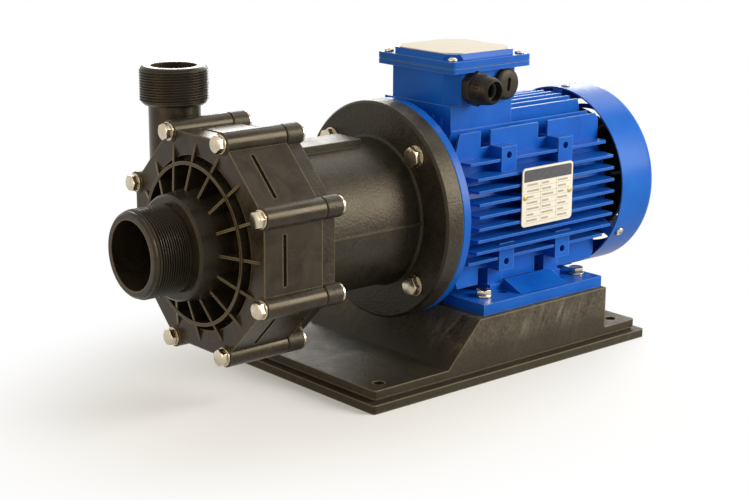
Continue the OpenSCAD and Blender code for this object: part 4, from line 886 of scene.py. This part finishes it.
def fit_plug():
    """Blanking plug in the spare cable entry, with a coin slot in its rounded face."""
    place = [at(PLUG_X, BOX_WALL, ENTRY_Z) @ turn(90, "X") @ turn(82, "Z")]
    plug = turned("entry_plug", ((-7.5, 9.4), (-7, 9.4), (-6.5, 10), (0, 10), (0, 14.1), (0.5, 14.5),
                                 (3.4, 14.5), (4.2, 14.1), (5, 13.2), (5.6, 12.1), (6, 10.6)), PLUG_SIDES)
    press_flutes(plug, 0.6 * MM, 3.3 * MM, PLUG_SIDES, 0.15 * MM, 0.3 * MM)
    slot = new_block("coin", (-6.2 * MM, -1.9 * MM, 4 * MM), (6.2 * MM, 1.9 * MM, 9 * MM))
    edit_edges(slot, lambda a, b: abs(a.z - b.z) > 4 * MM)
    bpy.ops.mesh.bevel(offset=1.8 * MM, segments=5, affect="EDGES")
    leave_edit()
    cut(plug, slot, "DIFFERENCE")
    tidy(plug)
    fit(copies(plug, "entry_plug", place), "gland_plastic", "blanking_plug")


# Name plate print

PRINT_DEEP = 0.12 * MM
RULE_WIDE = 0.35 * MM
HEADER_HIGH = 11 * MM
ROWS = 7

# Fields of three rows in turn: start and width of each, in millimetres from the left edge
FIELDS = (((4, 14), (24, 9), (45, 13)), ((4, 9), (24, 15), (45, 8)), ((4, 16), (24, 12), (45, 11)))


def printed(name, left, right, low, high):
    """Thin raised patch on the name plate."""
    return new_block(name, (left, PLATE_FACE - PRINT_DEEP / 2, low), (right, PLATE_FACE + PRINT_DEEP, high))


def fit_plate_print():
    """Blank form printed on the name plate: a dark header band and ruled fields, no words."""
    left, right = 19.5 * MM, 82.5 * MM
    base, top = SHAFT_Z - 14 * MM, SHAFT_Z + 36 * MM
    band = new_block("header_band", (left, PLATE_FACE - PRINT_DEEP, top - HEADER_HIGH),
                     (right, PLATE_FACE + PRINT_DEEP, top))
    edit_edges(band, lambda a, b: abs(a.y - b.y) > PRINT_DEEP and min(a.z, b.z) > top - 1 * MM)
    bpy.ops.mesh.bevel(offset=2.4 * MM, segments=6, affect="EDGES")
    leave_edit()
    tidy(band)
    band.name = "plate_header_band"
    fit(band, "pale_plate", finish="header_ink")
    rules = []
    pitch = (top - HEADER_HIGH - base) / ROWS
    for i in range(ROWS):
        z = base + i * pitch
        rules.append(printed("rule", left + 2 * MM, right - 2 * MM, z, z + RULE_WIDE))
        for start, width in FIELDS[i % len(FIELDS)]:
            rules.append(printed("field", left + start * MM, left + (start + width) * MM,
                                 z + 0.3 * pitch, z + 0.62 * pitch))
    for x in (left + 22 * MM, left + 43 * MM):
        rules.append(printed("divider", x, x + RULE_WIDE, base, top - 12 * MM))
    grid = join(rules, "plate_ruled_fields")
    break_edges(grid, 0.04 * MM, 1, 50)
    tidy(grid)
    fit(grid, "pale_plate", finish="rule_ink")


fit_casing_fasteners()
fit_flange_fasteners()
fit_foot_fasteners()
fit_screws()
fit_threads()
fit_gland()
fit_plug()
fit_plate_print()
